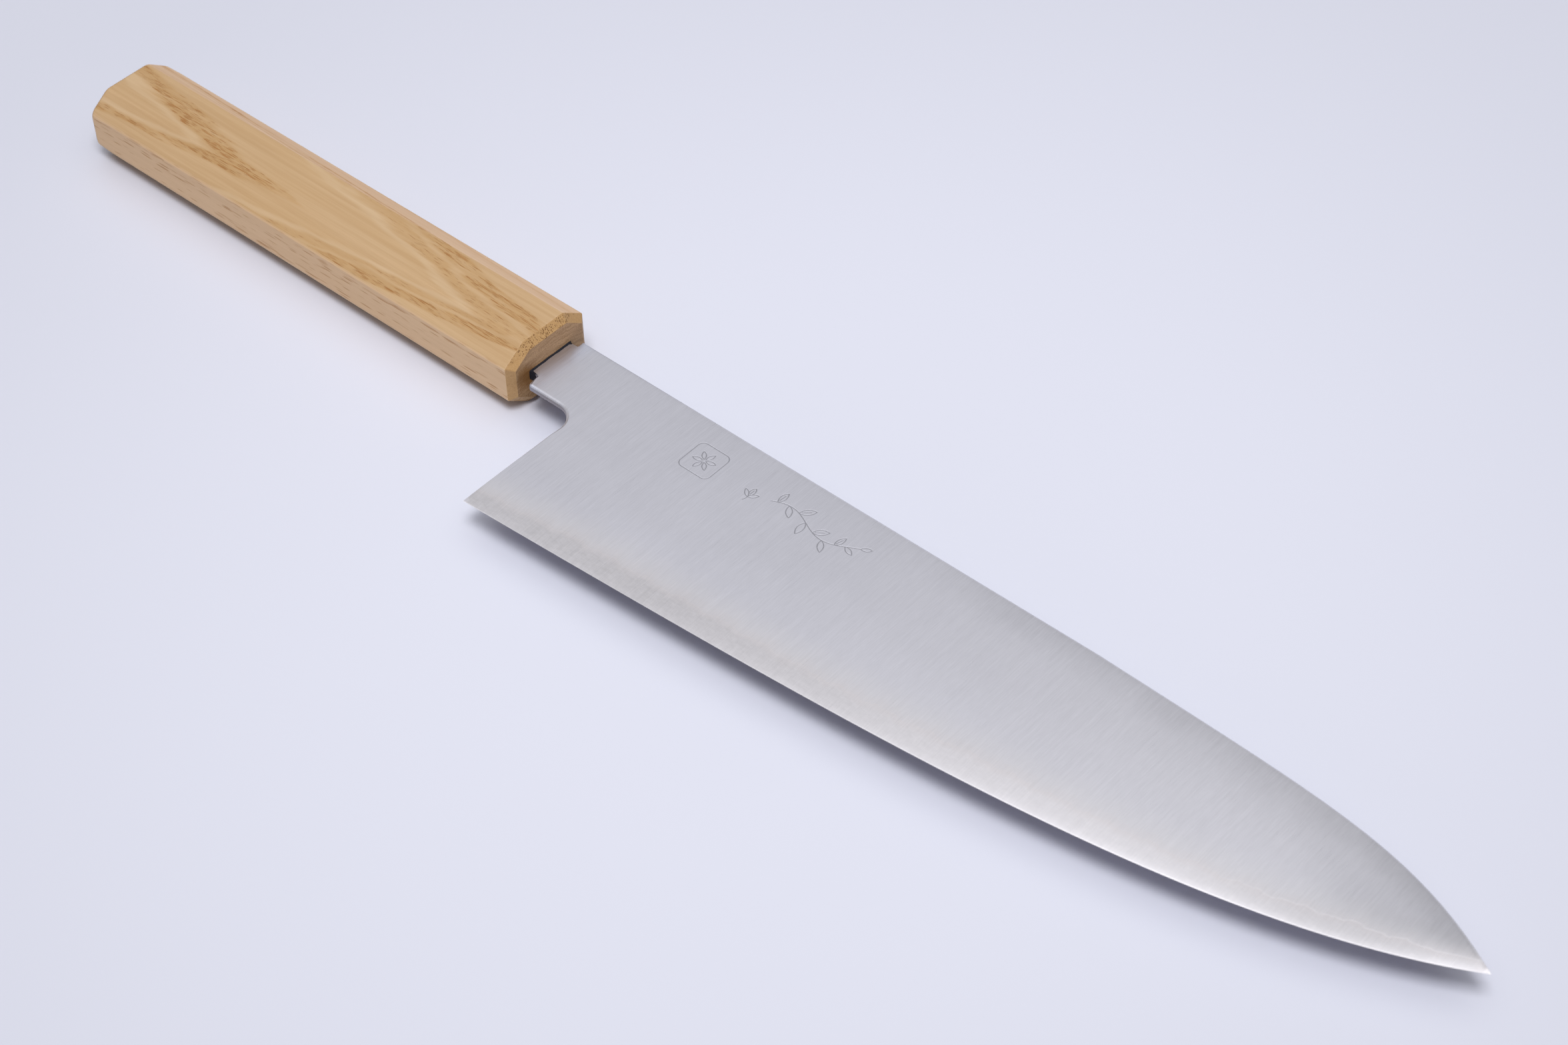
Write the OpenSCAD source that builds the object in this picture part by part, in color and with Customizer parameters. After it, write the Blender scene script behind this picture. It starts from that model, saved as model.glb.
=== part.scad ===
// Chef knife with a full-length hidden tang: a three-layer forged blade
// set in a one-piece octagonal wooden handle.
// The knife lies on its left side. X runs along the handle's axis towards
// the point, Y runs from the cutting edge towards the spine, and Z stands
// up out of the blade's right face. The origin is the middle of the
// handle's lower facet, on which the handle rests.
// Every piece is drawn about the handle's axis, with X = 0 in the plane of
// its front end face, and then moved to that origin by placed().

/* [Handle] */
// Length of the handle
handle_len = 145; // [130:1:155]
// Width of the handle, from edge side to spine side
handle_w = 24.9; // [23:0.1:28]
// Thickness of the handle, across the blade's faces
handle_t = 18; // [16:0.1:22]
// Part of the width taken by each slanting facet
facet_w = 6; // [4:0.05:7]
// Part of the thickness taken by each slanting facet
facet_t = 4.15; // [3:0.05:5.5]
// Length of the bevel around the front end
front_bevel_len = 1.65; // [0.8:0.05:3]
// Depth of the bevel around the front end
front_bevel_depth = 1.8; // [0.8:0.05:2.5]
// Bevel around the butt end
butt_bevel = 0.7; // [0.3:0.1:1.5]

/* [Tang and its slot] */
// Length of tang inside the handle
tang_len = 96; // [70:1:105]
// Spine side of the tang at the shoulders, above the handle's axis
tang_top = 6.4; // [5:0.1:6.8]
// Edge side of the tang at the shoulders, below the handle's axis
tang_bottom = 6.3; // [5:0.1:7]
// Half width of the tang at its inner end
tang_end_half = 2.8; // [2:0.1:4]
// Thickness of the tang
tang_t = 2.3; // [1.8:0.1:2.4]
// Room for the bonding resin at each edge of the tang
slot_gap_w = 0.4; // [0.2:0.05:1]
// Room for the bonding resin over each face of the tang
slot_gap_t = 0.75; // [0.3:0.05:1.2]
// Depth of the black sealing plug in the mouth of the slot
seal_depth = 3; // [1:0.5:8]
// How far the seal stands out of the handle's face
seal_proud = 0.25; // [0:0.05:0.6]

/* [Blade outline] */
// Gap from the handle's face to the blade's shoulders
shoulder_x = 2.5; // [1.5:0.1:5]
// Height of the spine above the handle's axis, at the shoulders
spine_y = 8.2; // [7.8:0.1:10]
// Rise of the spine from the shoulders to where it starts to fall
spine_rise = 0.05; // [0:0.05:1]
// Distance from the handle's face to where the spine starts to fall
spine_fall_x = 150; // [120:1:170]
// Neck's lower side below the handle's axis
neck_y = 9.8; // [8.5:0.1:12]
// Distance of the heel from the handle's face
heel_x = 17.2; // [15:0.1:24]
// How much further forward the back of the heel is at the neck
heel_lean = 0.5; // [0:0.1:2]
// Heel corner below the handle's axis
heel_y = 44.5; // [38:0.1:48]
// Radius between the neck and the back of the heel
choil_r = 5.5; // [3:0.1:7]
// Length of the blade from heel to point
blade_len = 237.8; // [225:0.1:260]
// Point of the blade below the handle's axis
tip_y = 7.8; // [4:0.1:10]
// How long the edge stays nearly straight after the heel
edge_flat = 110; // [60:1:120]
// How far the straight part of the edge rises
edge_lift = 5.5; // [2:0.1:7]
// How far back from the point the belly of the edge begins to turn up
belly_back = 47.6; // [35:0.1:60]
// Depth of the belly below the point
belly_drop = 27.3; // [24:0.1:33]

/* [Blade section] */
// Thickness of the blade at the neck
neck_t = 2.5; // [2.5:0.05:3.2]
// Thickness of the spine where it starts to fall
mid_t = 1.9; // [1.5:0.05:2.4]
// Thickness of the spine at the point
tip_t = 0.5; // [0.4:0.05:0.8]
// Thickness left at the very edge
edge_t = 0.1; // [0.08:0.01:0.2]
// Fullness of the convex faces, where 1 is flat
convex = 0.62; // [0.5:0.01:0.8]
// Bevel that breaks the corners of the spine
spine_break = 0.35; // [0.2:0.05:0.45]
// Thickness of the hard core layer at the handle
core_t = 0.72; // [0.5:0.02:0.9]
// Thickness of the hard core layer at the point
core_tip_t = 0.4; // [0.3:0.02:0.5]

/* [Hidden] */
$fn = 64;

half_w = handle_w / 2;
half_t = handle_t / 2;
tip_x = heel_x + blade_len;

margin = 5;         // how far cutting shapes reach past what they cut
blade_cut_t = 10;   // Z size of the cutters that trim the blade's outline
blade_span = 160;   // Y size of the shapes that divide the blade in layers
shoulder_r = 1;     // radius on the neck's lower corner, at the shoulder
tang_overlap = 6;   // how far the tang runs on into the neck

module placed() {
    translate([handle_len / 2, 0, half_t]) children();
}

// ---- blade outline ---------------------------------------------------

// the point at parameter t on a cubic Bezier curve with four control points
function cubic(controls, t) =
    pow(1 - t, 3) * controls[0]
    + 3 * pow(1 - t, 2) * t * controls[1]
    + 3 * (1 - t) * t * t * controls[2]
    + t * t * t * controls[3];

// the parameter at which a curve that always advances in X reaches x,
// found by halving the interval from low to high
function param_at(controls, x, low = 0, high = 1, halvings = 26) =
    let (middle = (low + high) / 2)
    halvings == 0 ? middle
    : cubic(controls, middle)[0] < x
        ? param_at(controls, x, middle, high, halvings - 1)
        : param_at(controls, x, low, middle, halvings - 1);

function curve_y(controls, x) = cubic(controls, param_at(controls, x))[1];

edge_curve = [[heel_x, -heel_y],
              [heel_x + edge_flat, -heel_y + edge_lift],
              [tip_x - belly_back, -tip_y - belly_drop],
              [tip_x, -tip_y]];

// the two inner control points of the falling spine: how far each lies
// from its end of the curve, as a share of the run, and below spine_top
fall_start_share = 0.57;
fall_start_drop = 1.6;
fall_end_share = 0.257;
fall_end_drop = 0.7;

spine_top = spine_y + spine_rise;
spine_run = tip_x - spine_fall_x;
spine_curve = [[spine_fall_x, spine_top],
               [spine_fall_x + fall_start_share * spine_run,
                spine_top - fall_start_drop],
               [tip_x - fall_end_share * spine_run,
                spine_top - fall_end_drop],
               [tip_x, -tip_y]];

// behind the heel the edge runs on straight, to be cut away by heel_cut()
function edge_at(x) =
    x <= heel_x ? -heel_y + (x - heel_x) * edge_lift / edge_flat
    : curve_y(edge_curve, x);

function spine_at(x) =
    x <= spine_fall_x
        ? spine_y + spine_rise * (x - shoulder_x) / (spine_fall_x - shoulder_x)
        : curve_y(spine_curve, x);

// ---- blade sections --------------------------------------------------

tip_taper = 0.6;        // power by which the spine thins to the point
min_top_half = 0.06;    // least half width left on top of the spine

// half thickness of the blade at its spine
function spine_half(x) =
    x < heel_x ? neck_t / 2
    : x < spine_fall_x
        ? (neck_t + (mid_t - neck_t) * (x - heel_x)
           / (spine_fall_x - heel_x)) / 2
        : (tip_t + (mid_t - tip_t)
           * pow((tip_x - x) / spine_run, tip_taper)) / 2;

// positions of the blade's cross sections, closer together at the point
n_back = 3;
n_mid = 20;
n_tip = 20;
back_end = heel_x - 1.3;
mid_start = heel_x + 1.9;
tip_start = spine_fall_x + 30;
tip_end = tip_x - 0.15;
tip_crowding = 1.7;     // power that draws sections towards the point
sections = concat(
    [for (i = [0 : n_back - 1])
        shoulder_x + (back_end - shoulder_x) * i / (n_back - 1)],
    [for (i = [0 : n_mid - 1])
        mid_start + (tip_start - mid_start) * i / n_mid],
    [for (i = [0 : n_tip])
        tip_start + (tip_end - tip_start)
            * (1 - pow(1 - i / n_tip, tip_crowding))]);

// rows of points on a face, as shares of the height from the edge to the
// broken corner; two more points make the corner itself
rows = [0, 0.03, 0.08, 0.16, 0.28, 0.45, 0.7];
side_points = len(rows) + 2;
ring_points = 2 * side_points;

// [y, z] points of one side of a section, from the edge to the spine
function side(x) =
    let (low = edge_at(x),
         high = spine_at(x),
         height = high - low,
         top_half = spine_half(x),
         edge_half = edge_t / 2,
         corner = min(spine_break, height / 3, top_half - min_top_half))
    concat(
        [for (share = rows)
            [low + share * (height - corner),
             edge_half + (top_half - edge_half) * pow(share, convex)]],
        [[high - corner, top_half], [high, top_half - corner]]);

// a whole section: up the right face, then back down the left one
function ring(x) =
    let (points = side(x))
    concat([for (p = points) [x, p[0], p[1]]],
           [for (i = [side_points - 1 : -1 : 0])
               [x, points[i][0], -points[i][1]]]);

// triangles that close one end with strips between the two faces;
// first is the index of the end ring's first point
function cap(first) =
    [for (j = [0 : side_points - 2])
        let (right = first + j,
             left = first + ring_points - 1 - j)
        each [[right, right + 1, left - 1], [right, left - 1, left]]];

function reversed(triangles) = [for (t = triangles) [t[2], t[1], t[0]]];

module ground_blade() {
    last = len(sections) - 1;
    points = [for (x = sections) each ring(x)];
    skin = [for (i = [0 : last - 1], j = [0 : ring_points - 1])
        let (a = i * ring_points + j,
             b = i * ring_points + (j + 1) % ring_points,
             c = a + ring_points,
             d = b + ring_points)
        each [[a, b, c], [b, d, c]]];
    polyhedron(points,
               concat(skin, reversed(cap(0)), cap(last * ring_points)));
}

// ---- blade -----------------------------------------------------------

// everything cut away behind the heel and under the neck
module heel_cut() {
    front_x = heel_x + heel_lean;
    arc_x = front_x - choil_r;
    arc_y = -neck_y - choil_r;
    back_x = shoulder_x - margin;
    low_y = -heel_y - margin;
    // the leaning back of the heel is carried on down to low_y
    lean_scale = (arc_y - low_y) / (arc_y + heel_y);
    linear_extrude(blade_cut_t, center = true)
        polygon([[back_x, -neck_y],
                 [arc_x, -neck_y],
                 [arc_x, arc_y],
                 [front_x, arc_y],
                 [front_x - heel_lean * lean_scale, low_y],
                 [back_x, low_y]]);
    translate([arc_x, arc_y, -blade_cut_t / 2])
        cylinder(r = choil_r, h = blade_cut_t);
}

// rounds the lower corner of the neck where it faces the handle
module shoulder_cut() {
    over = 1;
    size = shoulder_r + over;
    difference() {
        translate([shoulder_x - over, -neck_y - over, -blade_cut_t / 2])
            cube([size, size, blade_cut_t]);
        translate([shoulder_x + shoulder_r, -neck_y + shoulder_r,
                   -blade_cut_t / 2 - over])
            cylinder(r = shoulder_r, h = blade_cut_t + 2 * over);
    }
}

// the tang, run on into the neck; side and face make room around it
module tang_shape(side = 0, face = 0) {
    inner_x = -tang_len - side;
    neck_x = shoulder_x + tang_overlap;
    linear_extrude(tang_t + 2 * face, center = true)
        polygon([[inner_x, -tang_end_half - side],
                 [shoulder_x, -tang_bottom - side],
                 [neck_x, -tang_bottom - side],
                 [neck_x, tang_top + side],
                 [shoulder_x, tang_top + side],
                 [inner_x, tang_end_half + side]]);
}

module blade_body() {
    difference() {
        ground_blade();
        heel_cut();
        shoulder_cut();
    }
    tang_shape();
}

// space that the core fills: even in the handle, then tapering forward
module core_space() {
    back_x = -tang_len - margin;
    front_x = tip_x + margin;
    rotate([90, 0, 0])
        linear_extrude(blade_span, center = true)
            polygon([[back_x, -core_t / 2],
                     [0, -core_t / 2],
                     [front_x, -core_tip_t / 2],
                     [front_x, core_tip_t / 2],
                     [0, core_t / 2],
                     [back_x, core_t / 2]]);
}

module blade_core() {
    color([0.74, 0.73, 0.71])
        placed() intersection() {
            blade_body();
            core_space();
        }
}

// the layer on the right side of the core
module outer_layer() {
    difference() {
        intersection() {
            blade_body();
            translate([-tang_len - margin, -blade_span / 2, 0])
                cube([tip_x + tang_len + 2 * margin, blade_span, margin]);
        }
        core_space();
    }
}

module cladding_right() {
    color([0.66, 0.67, 0.70]) placed() outer_layer();
}

module cladding_left() {
    color([0.64, 0.65, 0.68]) placed() mirror([0, 0, 1]) outer_layer();
}

// ---- handle ----------------------------------------------------------

module handle_section() {
    flat_w = half_w - facet_w;
    flat_t = half_t - facet_t;
    polygon([[half_w, flat_t], [flat_w, half_t],
             [-flat_w, half_t], [-half_w, flat_t],
             [-half_w, -flat_t], [-flat_w, -half_t],
             [flat_w, -half_t], [half_w, -flat_t]]);
}

// block that bevels the end edge of one facet: the facet's normal is
// turned by angle from Z around X, and the facet is distance off the axis;
// dir is 1 at the front end and -1 at the butt
module end_bevel(angle, distance, length, depth, dir) {
    block = [80, 60, 20];
    rotate([angle, 0, 0])
        translate([0, 0, distance - depth])
            rotate([0, dir * atan2(depth, length), 0])
                translate([-block[0] / 2, -block[1] / 2, 0]) cube(block);
}

module end_bevels(length, depth, dir) {
    slant = atan2(facet_t, facet_w);
    slant_distance = (half_w * facet_t + (half_t - facet_t) * facet_w)
        / norm([facet_w, facet_t]);
    // angle and distance of four facets; the other four are opposite
    facets = [[0, half_t], [90, half_w],
              [slant, slant_distance], [-slant, slant_distance]];
    for (turn = [0, 180], facet = facets)
        end_bevel(turn + facet[0], facet[1], length, depth, dir);
}

// slot burnt and filed into the handle for the tang
module slot() {
    tang_shape(side = slot_gap_w, face = slot_gap_t);
}

module handle() {
    color([0.85, 0.68, 0.46])
        placed() difference() {
            rotate([90, 0, -90])
                linear_extrude(handle_len) handle_section();
            end_bevels(front_bevel_len, front_bevel_depth, dir = 1);
            translate([-handle_len, 0, 0])
                end_bevels(butt_bevel, butt_bevel, dir = -1);
            slot();
        }
}

// what fills the slot around the tang between two places along X
module slot_filling(from_x, to_x) {
    box_w = 40;
    box_t = 20;
    difference() {
        intersection() {
            slot();
            translate([from_x, -box_w / 2, -box_t / 2])
                cube([to_x - from_x, box_w, box_t]);
        }
        tang_shape();
    }
}

module tang_bond() {
    color([0.30, 0.25, 0.20])
        placed() slot_filling(-tang_len - margin, -seal_depth);
}

module mouth_seal() {
    color([0.05, 0.05, 0.06])
        placed() slot_filling(-seal_depth, seal_proud);
}

handle();
blade_core();
cladding_right();
cladding_left();
tang_bond();
mouth_seal();
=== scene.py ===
import functools
import math
import random

import bpy
import numpy as np
from mathutils import Matrix, Vector
from mathutils.geometry import delaunay_2d_cdt
from mathutils.kdtree import KDTree


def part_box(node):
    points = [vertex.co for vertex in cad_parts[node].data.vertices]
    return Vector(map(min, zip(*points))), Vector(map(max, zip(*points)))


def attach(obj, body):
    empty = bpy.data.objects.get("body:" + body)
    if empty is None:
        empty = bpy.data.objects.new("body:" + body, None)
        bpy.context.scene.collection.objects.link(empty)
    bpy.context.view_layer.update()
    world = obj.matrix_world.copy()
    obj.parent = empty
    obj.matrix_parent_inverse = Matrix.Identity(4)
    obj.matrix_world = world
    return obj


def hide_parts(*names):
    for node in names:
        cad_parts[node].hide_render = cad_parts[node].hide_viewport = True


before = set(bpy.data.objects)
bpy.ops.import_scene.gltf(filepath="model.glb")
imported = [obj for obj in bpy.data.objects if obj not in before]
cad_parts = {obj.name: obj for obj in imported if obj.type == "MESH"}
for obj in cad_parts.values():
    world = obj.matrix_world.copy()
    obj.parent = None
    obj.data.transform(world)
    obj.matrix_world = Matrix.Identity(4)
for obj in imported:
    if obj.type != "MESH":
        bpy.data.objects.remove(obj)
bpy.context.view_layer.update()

# Shapes are in millimetres about the handle's axis, with x = 0 in the plane
# of the handle's front end face. HOME is where that point lies in the frame;
# every new piece is an object placed there.
MM = 0.001
handle_lo, handle_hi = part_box("handle")
HOME = Vector((handle_hi.x, (handle_lo.y + handle_hi.y) / 2,
               (handle_lo.z + handle_hi.z) / 2))

# ---------------------------------------------------------------- sizes
HANDLE_LEN = (handle_hi.x - handle_lo.x) / MM
HALF_W = (handle_hi.y - handle_lo.y) / 2 / MM
HALF_T = (handle_hi.z - handle_lo.z) / 2 / MM
FACET_W, FACET_T = 6.0, 4.15            # slanted facets, along y and z
BEVEL_LEN, BEVEL_DEPTH = 1.65, 1.8      # bevel round the handle's front
TANG_LEN, TANG_TOP, TANG_BOT, TANG_END = 96.0, 6.4, 6.3, 2.8
TANG_HALF = 1.15                        # half thickness of the tang
SHOULDER_X = 2.5
SPINE_Y, SPINE_RISE, FALL_X = 8.2, 0.05, 150.0  # FALL_X: the spine turns down
NECK_Y, HEEL_X, HEEL_LEAN, HEEL_Y, CHOIL_R = 9.8, 17.2, 0.5, 44.5, 5.5
TIP_X, TIP_Y = 255.0, 7.8
# thickness at the neck, where the spine falls, at the tip and at the edge
NECK_T, MID_T, TIP_T, EDGE_T = 2.5, 1.9, 0.5, 0.1
CONVEX = 0.62                           # below 1 the faces bulge
CHOIL_X = HEEL_X + HEEL_LEAN - CHOIL_R  # centre of the arc above the heel
CHOIL_Y = -NECK_Y - CHOIL_R
HEX = 0.866                             # row pitch of a triangular grid
JOIN_EPS = 1e-7                         # merging distance of triangulations


# ---------------------------------------------------------- plane curves
def bezier(control, count=4000):
    t = np.linspace(0, 1, count)[:, None]
    p = np.array(control, float)
    return ((1 - t) ** 3 * p[0] + 3 * (1 - t) ** 2 * t * p[1]
            + 3 * (1 - t) * t * t * p[2] + t ** 3 * p[3])


def smooth(start, end, x):
    t = np.clip((np.asarray(x, float) - start) / (end - start), 0, 1)
    return t * t * (3 - 2 * t)


def arc_length(points):
    seg = np.linalg.norm(np.diff(points, axis=0), axis=1)
    return np.concatenate([[0], np.cumsum(seg)])


def at_distance(points, distance):
    """Points of a polyline at the given distances from its start."""
    length = arc_length(points)
    return np.column_stack([np.interp(distance, length, points[:, 0]),
                            np.interp(distance, length, points[:, 1])])


def resample(points, step):
    points = np.asarray(points, float)
    total = arc_length(points)[-1]
    count = max(1, int(round(total / step)))
    return at_distance(points, np.linspace(0, total, count + 1))


def within(polygon, points):
    """Which points lie inside a closed polygon."""
    inside = np.zeros(len(points), bool)
    px, py = points[:, 0], points[:, 1]
    for i in range(len(polygon)):
        a, b = polygon[i], polygon[(i + 1) % len(polygon)]
        if a[1] == b[1]:
            continue
        cross = (a[1] > py) != (b[1] > py)
        inside ^= cross & (px < (b[0] - a[0]) * (py - a[1]) / (b[1] - a[1]) + a[0])
    return inside


def search_tree(points):
    tree = KDTree(len(points))
    for i, p in enumerate(points):
        tree.insert((p[0], p[1], 0), i)
    tree.balance()
    return tree


def staggered_grid(x0, y0, width, height, step):
    columns, rows = int(width / step), int(height / (step * HEX))
    x = x0 + step * (np.arange(columns)[None, :]
                     + 0.5 * (np.arange(rows)[:, None] % 2))
    y = y0 + step * HEX * np.arange(rows)[:, None] + 0 * x
    return np.column_stack([x.ravel(), y.ravel()])


# ------------------------------------------------------- form of the blade
TOP = SPINE_Y + SPINE_RISE
RUN = TIP_X - FALL_X
EDGE = bezier([(HEEL_X, -HEEL_Y), (HEEL_X + 110, -HEEL_Y + 5.5),
               (TIP_X - 47.6, -TIP_Y - 27.3), (TIP_X, -TIP_Y)])
SPINE = bezier([(FALL_X, TOP), (FALL_X + 0.57 * RUN, TOP - 1.6),
                (TIP_X - 0.257 * RUN, TOP - 0.7), (TIP_X, -TIP_Y)])


def edge_y(x):
    x = np.asarray(x, float)
    return np.where(x <= HEEL_X, -HEEL_Y + (x - HEEL_X) * 0.05,
                    np.interp(x, EDGE[:, 0], EDGE[:, 1]))


def spine_y(x):
    x = np.asarray(x, float)
    return np.where(x <= FALL_X,
                    SPINE_Y + SPINE_RISE * np.maximum(0, x - SHOULDER_X)
                    / (FALL_X - SHOULDER_X),
                    np.interp(x, SPINE[:, 0], SPINE[:, 1]))


def spine_half(x):
    """Half thickness at the spine."""
    x = np.asarray(x, float)
    mid = (NECK_T + (MID_T - NECK_T) * (x - HEEL_X) / (FALL_X - HEEL_X)) / 2
    far = (TIP_T + (MID_T - TIP_T)
           * np.clip((TIP_X - x) / RUN, 0, 1) ** 0.6) / 2
    return np.where(x < HEEL_X, NECK_T / 2, np.where(x < FALL_X, mid, far))


def face_height(x, y):
    """Half thickness of the blade, or of the tang behind the shoulders."""
    lo, hi, half = edge_y(x), spine_y(x), spine_half(x)
    rise = np.clip((y - lo) / np.maximum(hi - 0.35 - lo, 0.05), 0, 1)
    blade = EDGE_T / 2 + (half - EDGE_T / 2) * rise ** CONVEX
    k = smooth(1.2, 3.6, x)
    return TANG_HALF * (1 - k) + blade * k


def face_normal(x, y, height, eps=0.06):
    """Outward normal of the right face where its height is height(x, y)."""
    gx = (height(x + eps, y) - height(x - eps, y)) / (2 * eps)
    gy = (height(x, y + eps) - height(x, y - eps)) / (2 * eps)
    normal = np.column_stack([-gx, -gy, np.ones(len(x))])
    return normal / np.linalg.norm(normal, axis=1)[:, None]


def bevel_width(x):
    """Width of the micro bevel along the cutting edge."""
    return 0.13 + 0.11 * smooth(60, 150, x)


# ------------------------------------------------------- ornament strokes
FRAME_X, FRAME_Y, FRAME_R = (45.0, 53.7), (-6.6, 2.1), 1.5
BUD_X = 63.9
# place along the stem (0 to 1), length and turn in degrees of each leaf
SPRIG_LEAVES = ((0.06, 3.4, 62), (0.17, 3.6, -58), (0.30, 3.9, 60),
                (0.42, 3.9, -60), (0.55, 3.8, 56), (0.67, 3.5, -58),
                (0.79, 3.2, 52), (0.88, 2.8, -50))
GROOVE_W, GROOVE_D = 0.16, 0.042
NO_STROKE = 9.0         # distance given to places far from any stroke


def curved_stroke(start, end, bulge, count=18):
    start, end = np.array(start, float), np.array(end, float)
    along = end - start
    side = np.array([-along[1], along[0]])
    t = np.linspace(0, 1, count)[:, None]
    return start + along * t + side * bulge * 4 * t * (1 - t)


def leaf(base, tip, fat=0.2, vein=False):
    strokes = [curved_stroke(base, tip, fat), curved_stroke(base, tip, -fat)]
    if vein:
        base, tip = np.array(base, float), np.array(tip, float)
        strokes.append(curved_stroke(base + (tip - base) * 0.18,
                                     base + (tip - base) * 0.72, 0.02, 8))
    return strokes


def rosette():
    """Six petals inside a rounded square."""
    (x0, x1), (y0, y1), r = FRAME_X, FRAME_Y, FRAME_R
    border = []
    for cx, cy, start in ((x1 - r, y1 - r, 0), (x0 + r, y1 - r, 90),
                          (x0 + r, y0 + r, 180), (x1 - r, y0 + r, 270)):
        for k in range(9):
            angle = math.radians(start + 90 * k / 8)
            border.append((cx + r * math.cos(angle), cy + r * math.sin(angle)))
    border.append(border[0])
    strokes = [np.array(border)]
    cx, cy = (x0 + x1) / 2, (y0 + y1) / 2
    for k in range(6):
        angle = math.radians(60 * k + 12)
        strokes += leaf(*((cx + reach * math.cos(angle),
                           cy + reach * math.sin(angle))
                          for reach in (0.45, 2.9)))
    return strokes


def bud():
    """A bud with two small leaves and a stalk."""
    return (leaf((BUD_X, -3.9), (BUD_X, -1.3), fat=0.24, vein=True)
            + leaf((BUD_X, -4.3), (62.0, -2.6), fat=0.18)
            + leaf((BUD_X, -4.3), (65.8, -2.6), fat=-0.18)
            + [curved_stroke((BUD_X, -3.9), (63.6, -5.6), 0.06, 8)])


def sprig():
    """A flowing stem with leaves on both sides."""
    t = np.linspace(0, 1, 90)
    stem = np.column_stack([
        68.7 + 24.2 * t,
        -2.6 + 1.9 * np.sin(t * 2 * math.pi * 1.05 + 0.35) + 0.9 * t])
    strokes = [stem]
    for i, (place, length, turn) in enumerate(SPRIG_LEAVES):
        k = int(place * 89)
        base = stem[k]
        along = stem[min(k + 1, 89)] - stem[max(k - 1, 0)]
        angle = math.atan2(along[1], along[0]) + math.radians(turn)
        strokes += leaf(base, (base[0] + length * math.cos(angle),
                               base[1] + length * math.sin(angle)),
                        vein=i % 2 == 0)
    return strokes + leaf(stem[-1], (stem[-1][0] + 2.2, stem[-1][1] + 1.2))


stroke_tree = search_tree(np.vstack([
    at_distance(stroke, np.arange(0, arc_length(stroke)[-1], 0.04))
    for stroke in rosette() + bud() + sprig()]))


def stroke_distance(x, y):
    distance = np.full(len(x), NO_STROKE)
    near = (x > 43) & (x < 97) & (y > -9) & (y < 6)
    for i in np.nonzero(near)[0]:
        distance[i] = stroke_tree.find((x[i], y[i], 0))[2]
    return distance


def engraved_height(x, y):
    """Height of the right face with the grooves of the ornament."""
    groove = GROOVE_D * (1 - smooth(0.0, GROOVE_W, stroke_distance(x, y)))
    return face_height(x, y) - groove


# ---------------------------------------------- line where the layers meet
# x, y from the heel to the point
LINE = np.array([
    (17.45, -39.4), (26, -38.9), (33, -38.1), (44, -36.9), (56, -36.1),
    (67, -35.6), (78, -34.8), (89, -34.3), (96, -33.9), (110, -33.0),
    (130, -31.0), (150, -28.6), (164, -27.2), (178, -25.4), (192, -23.3),
    (206, -21.0), (215, -18.8), (223, -16.4), (230, -14.2), (240, -11.4),
    (247, -8.8), (251, -6.7), (252.6, -5.9)])
LINE_END_X = 252.4      # where the line runs out over the spine
# height, rate per millimetre and phase of each ripple
RIPPLES = ((0.32, 0.61, 0.4), (0.22, 1.37, 2.1), (0.13, 2.9, 0.7),
           (0.08, 5.3, 1.0))


def line_y(x):
    x = np.asarray(x, float)
    y = np.interp(x, LINE[:, 0], LINE[:, 1])
    ripple = sum(height * np.sin(x * rate + phase)
                 for height, rate, phase in RIPPLES)
    return y + ripple * smooth(18.5, 24, x) * (1 - smooth(240, 249, x))


# --------------------------------------------------------- blade outline
def spine_rounding(p):
    to_tip = TIP_X - p[0]
    if to_tip < 1.2:
        return 0.0
    return min(0.35 * min(1.0, 0.25 + to_tip / 28),
               float(spine_half(p[0])) - 0.12)


def lower_shoulder_rounding(p):
    return 0.2 + 0.4 * float(smooth(-7.0, -8.8, p[1]))


def choil_rounding(p):
    y = p[1]
    if y < -43.6:
        return 0.0
    return 0.85 - 0.58 * float(smooth(-11.5, -19, y)) \
        - 0.15 * float(smooth(-19, -38, y))


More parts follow.
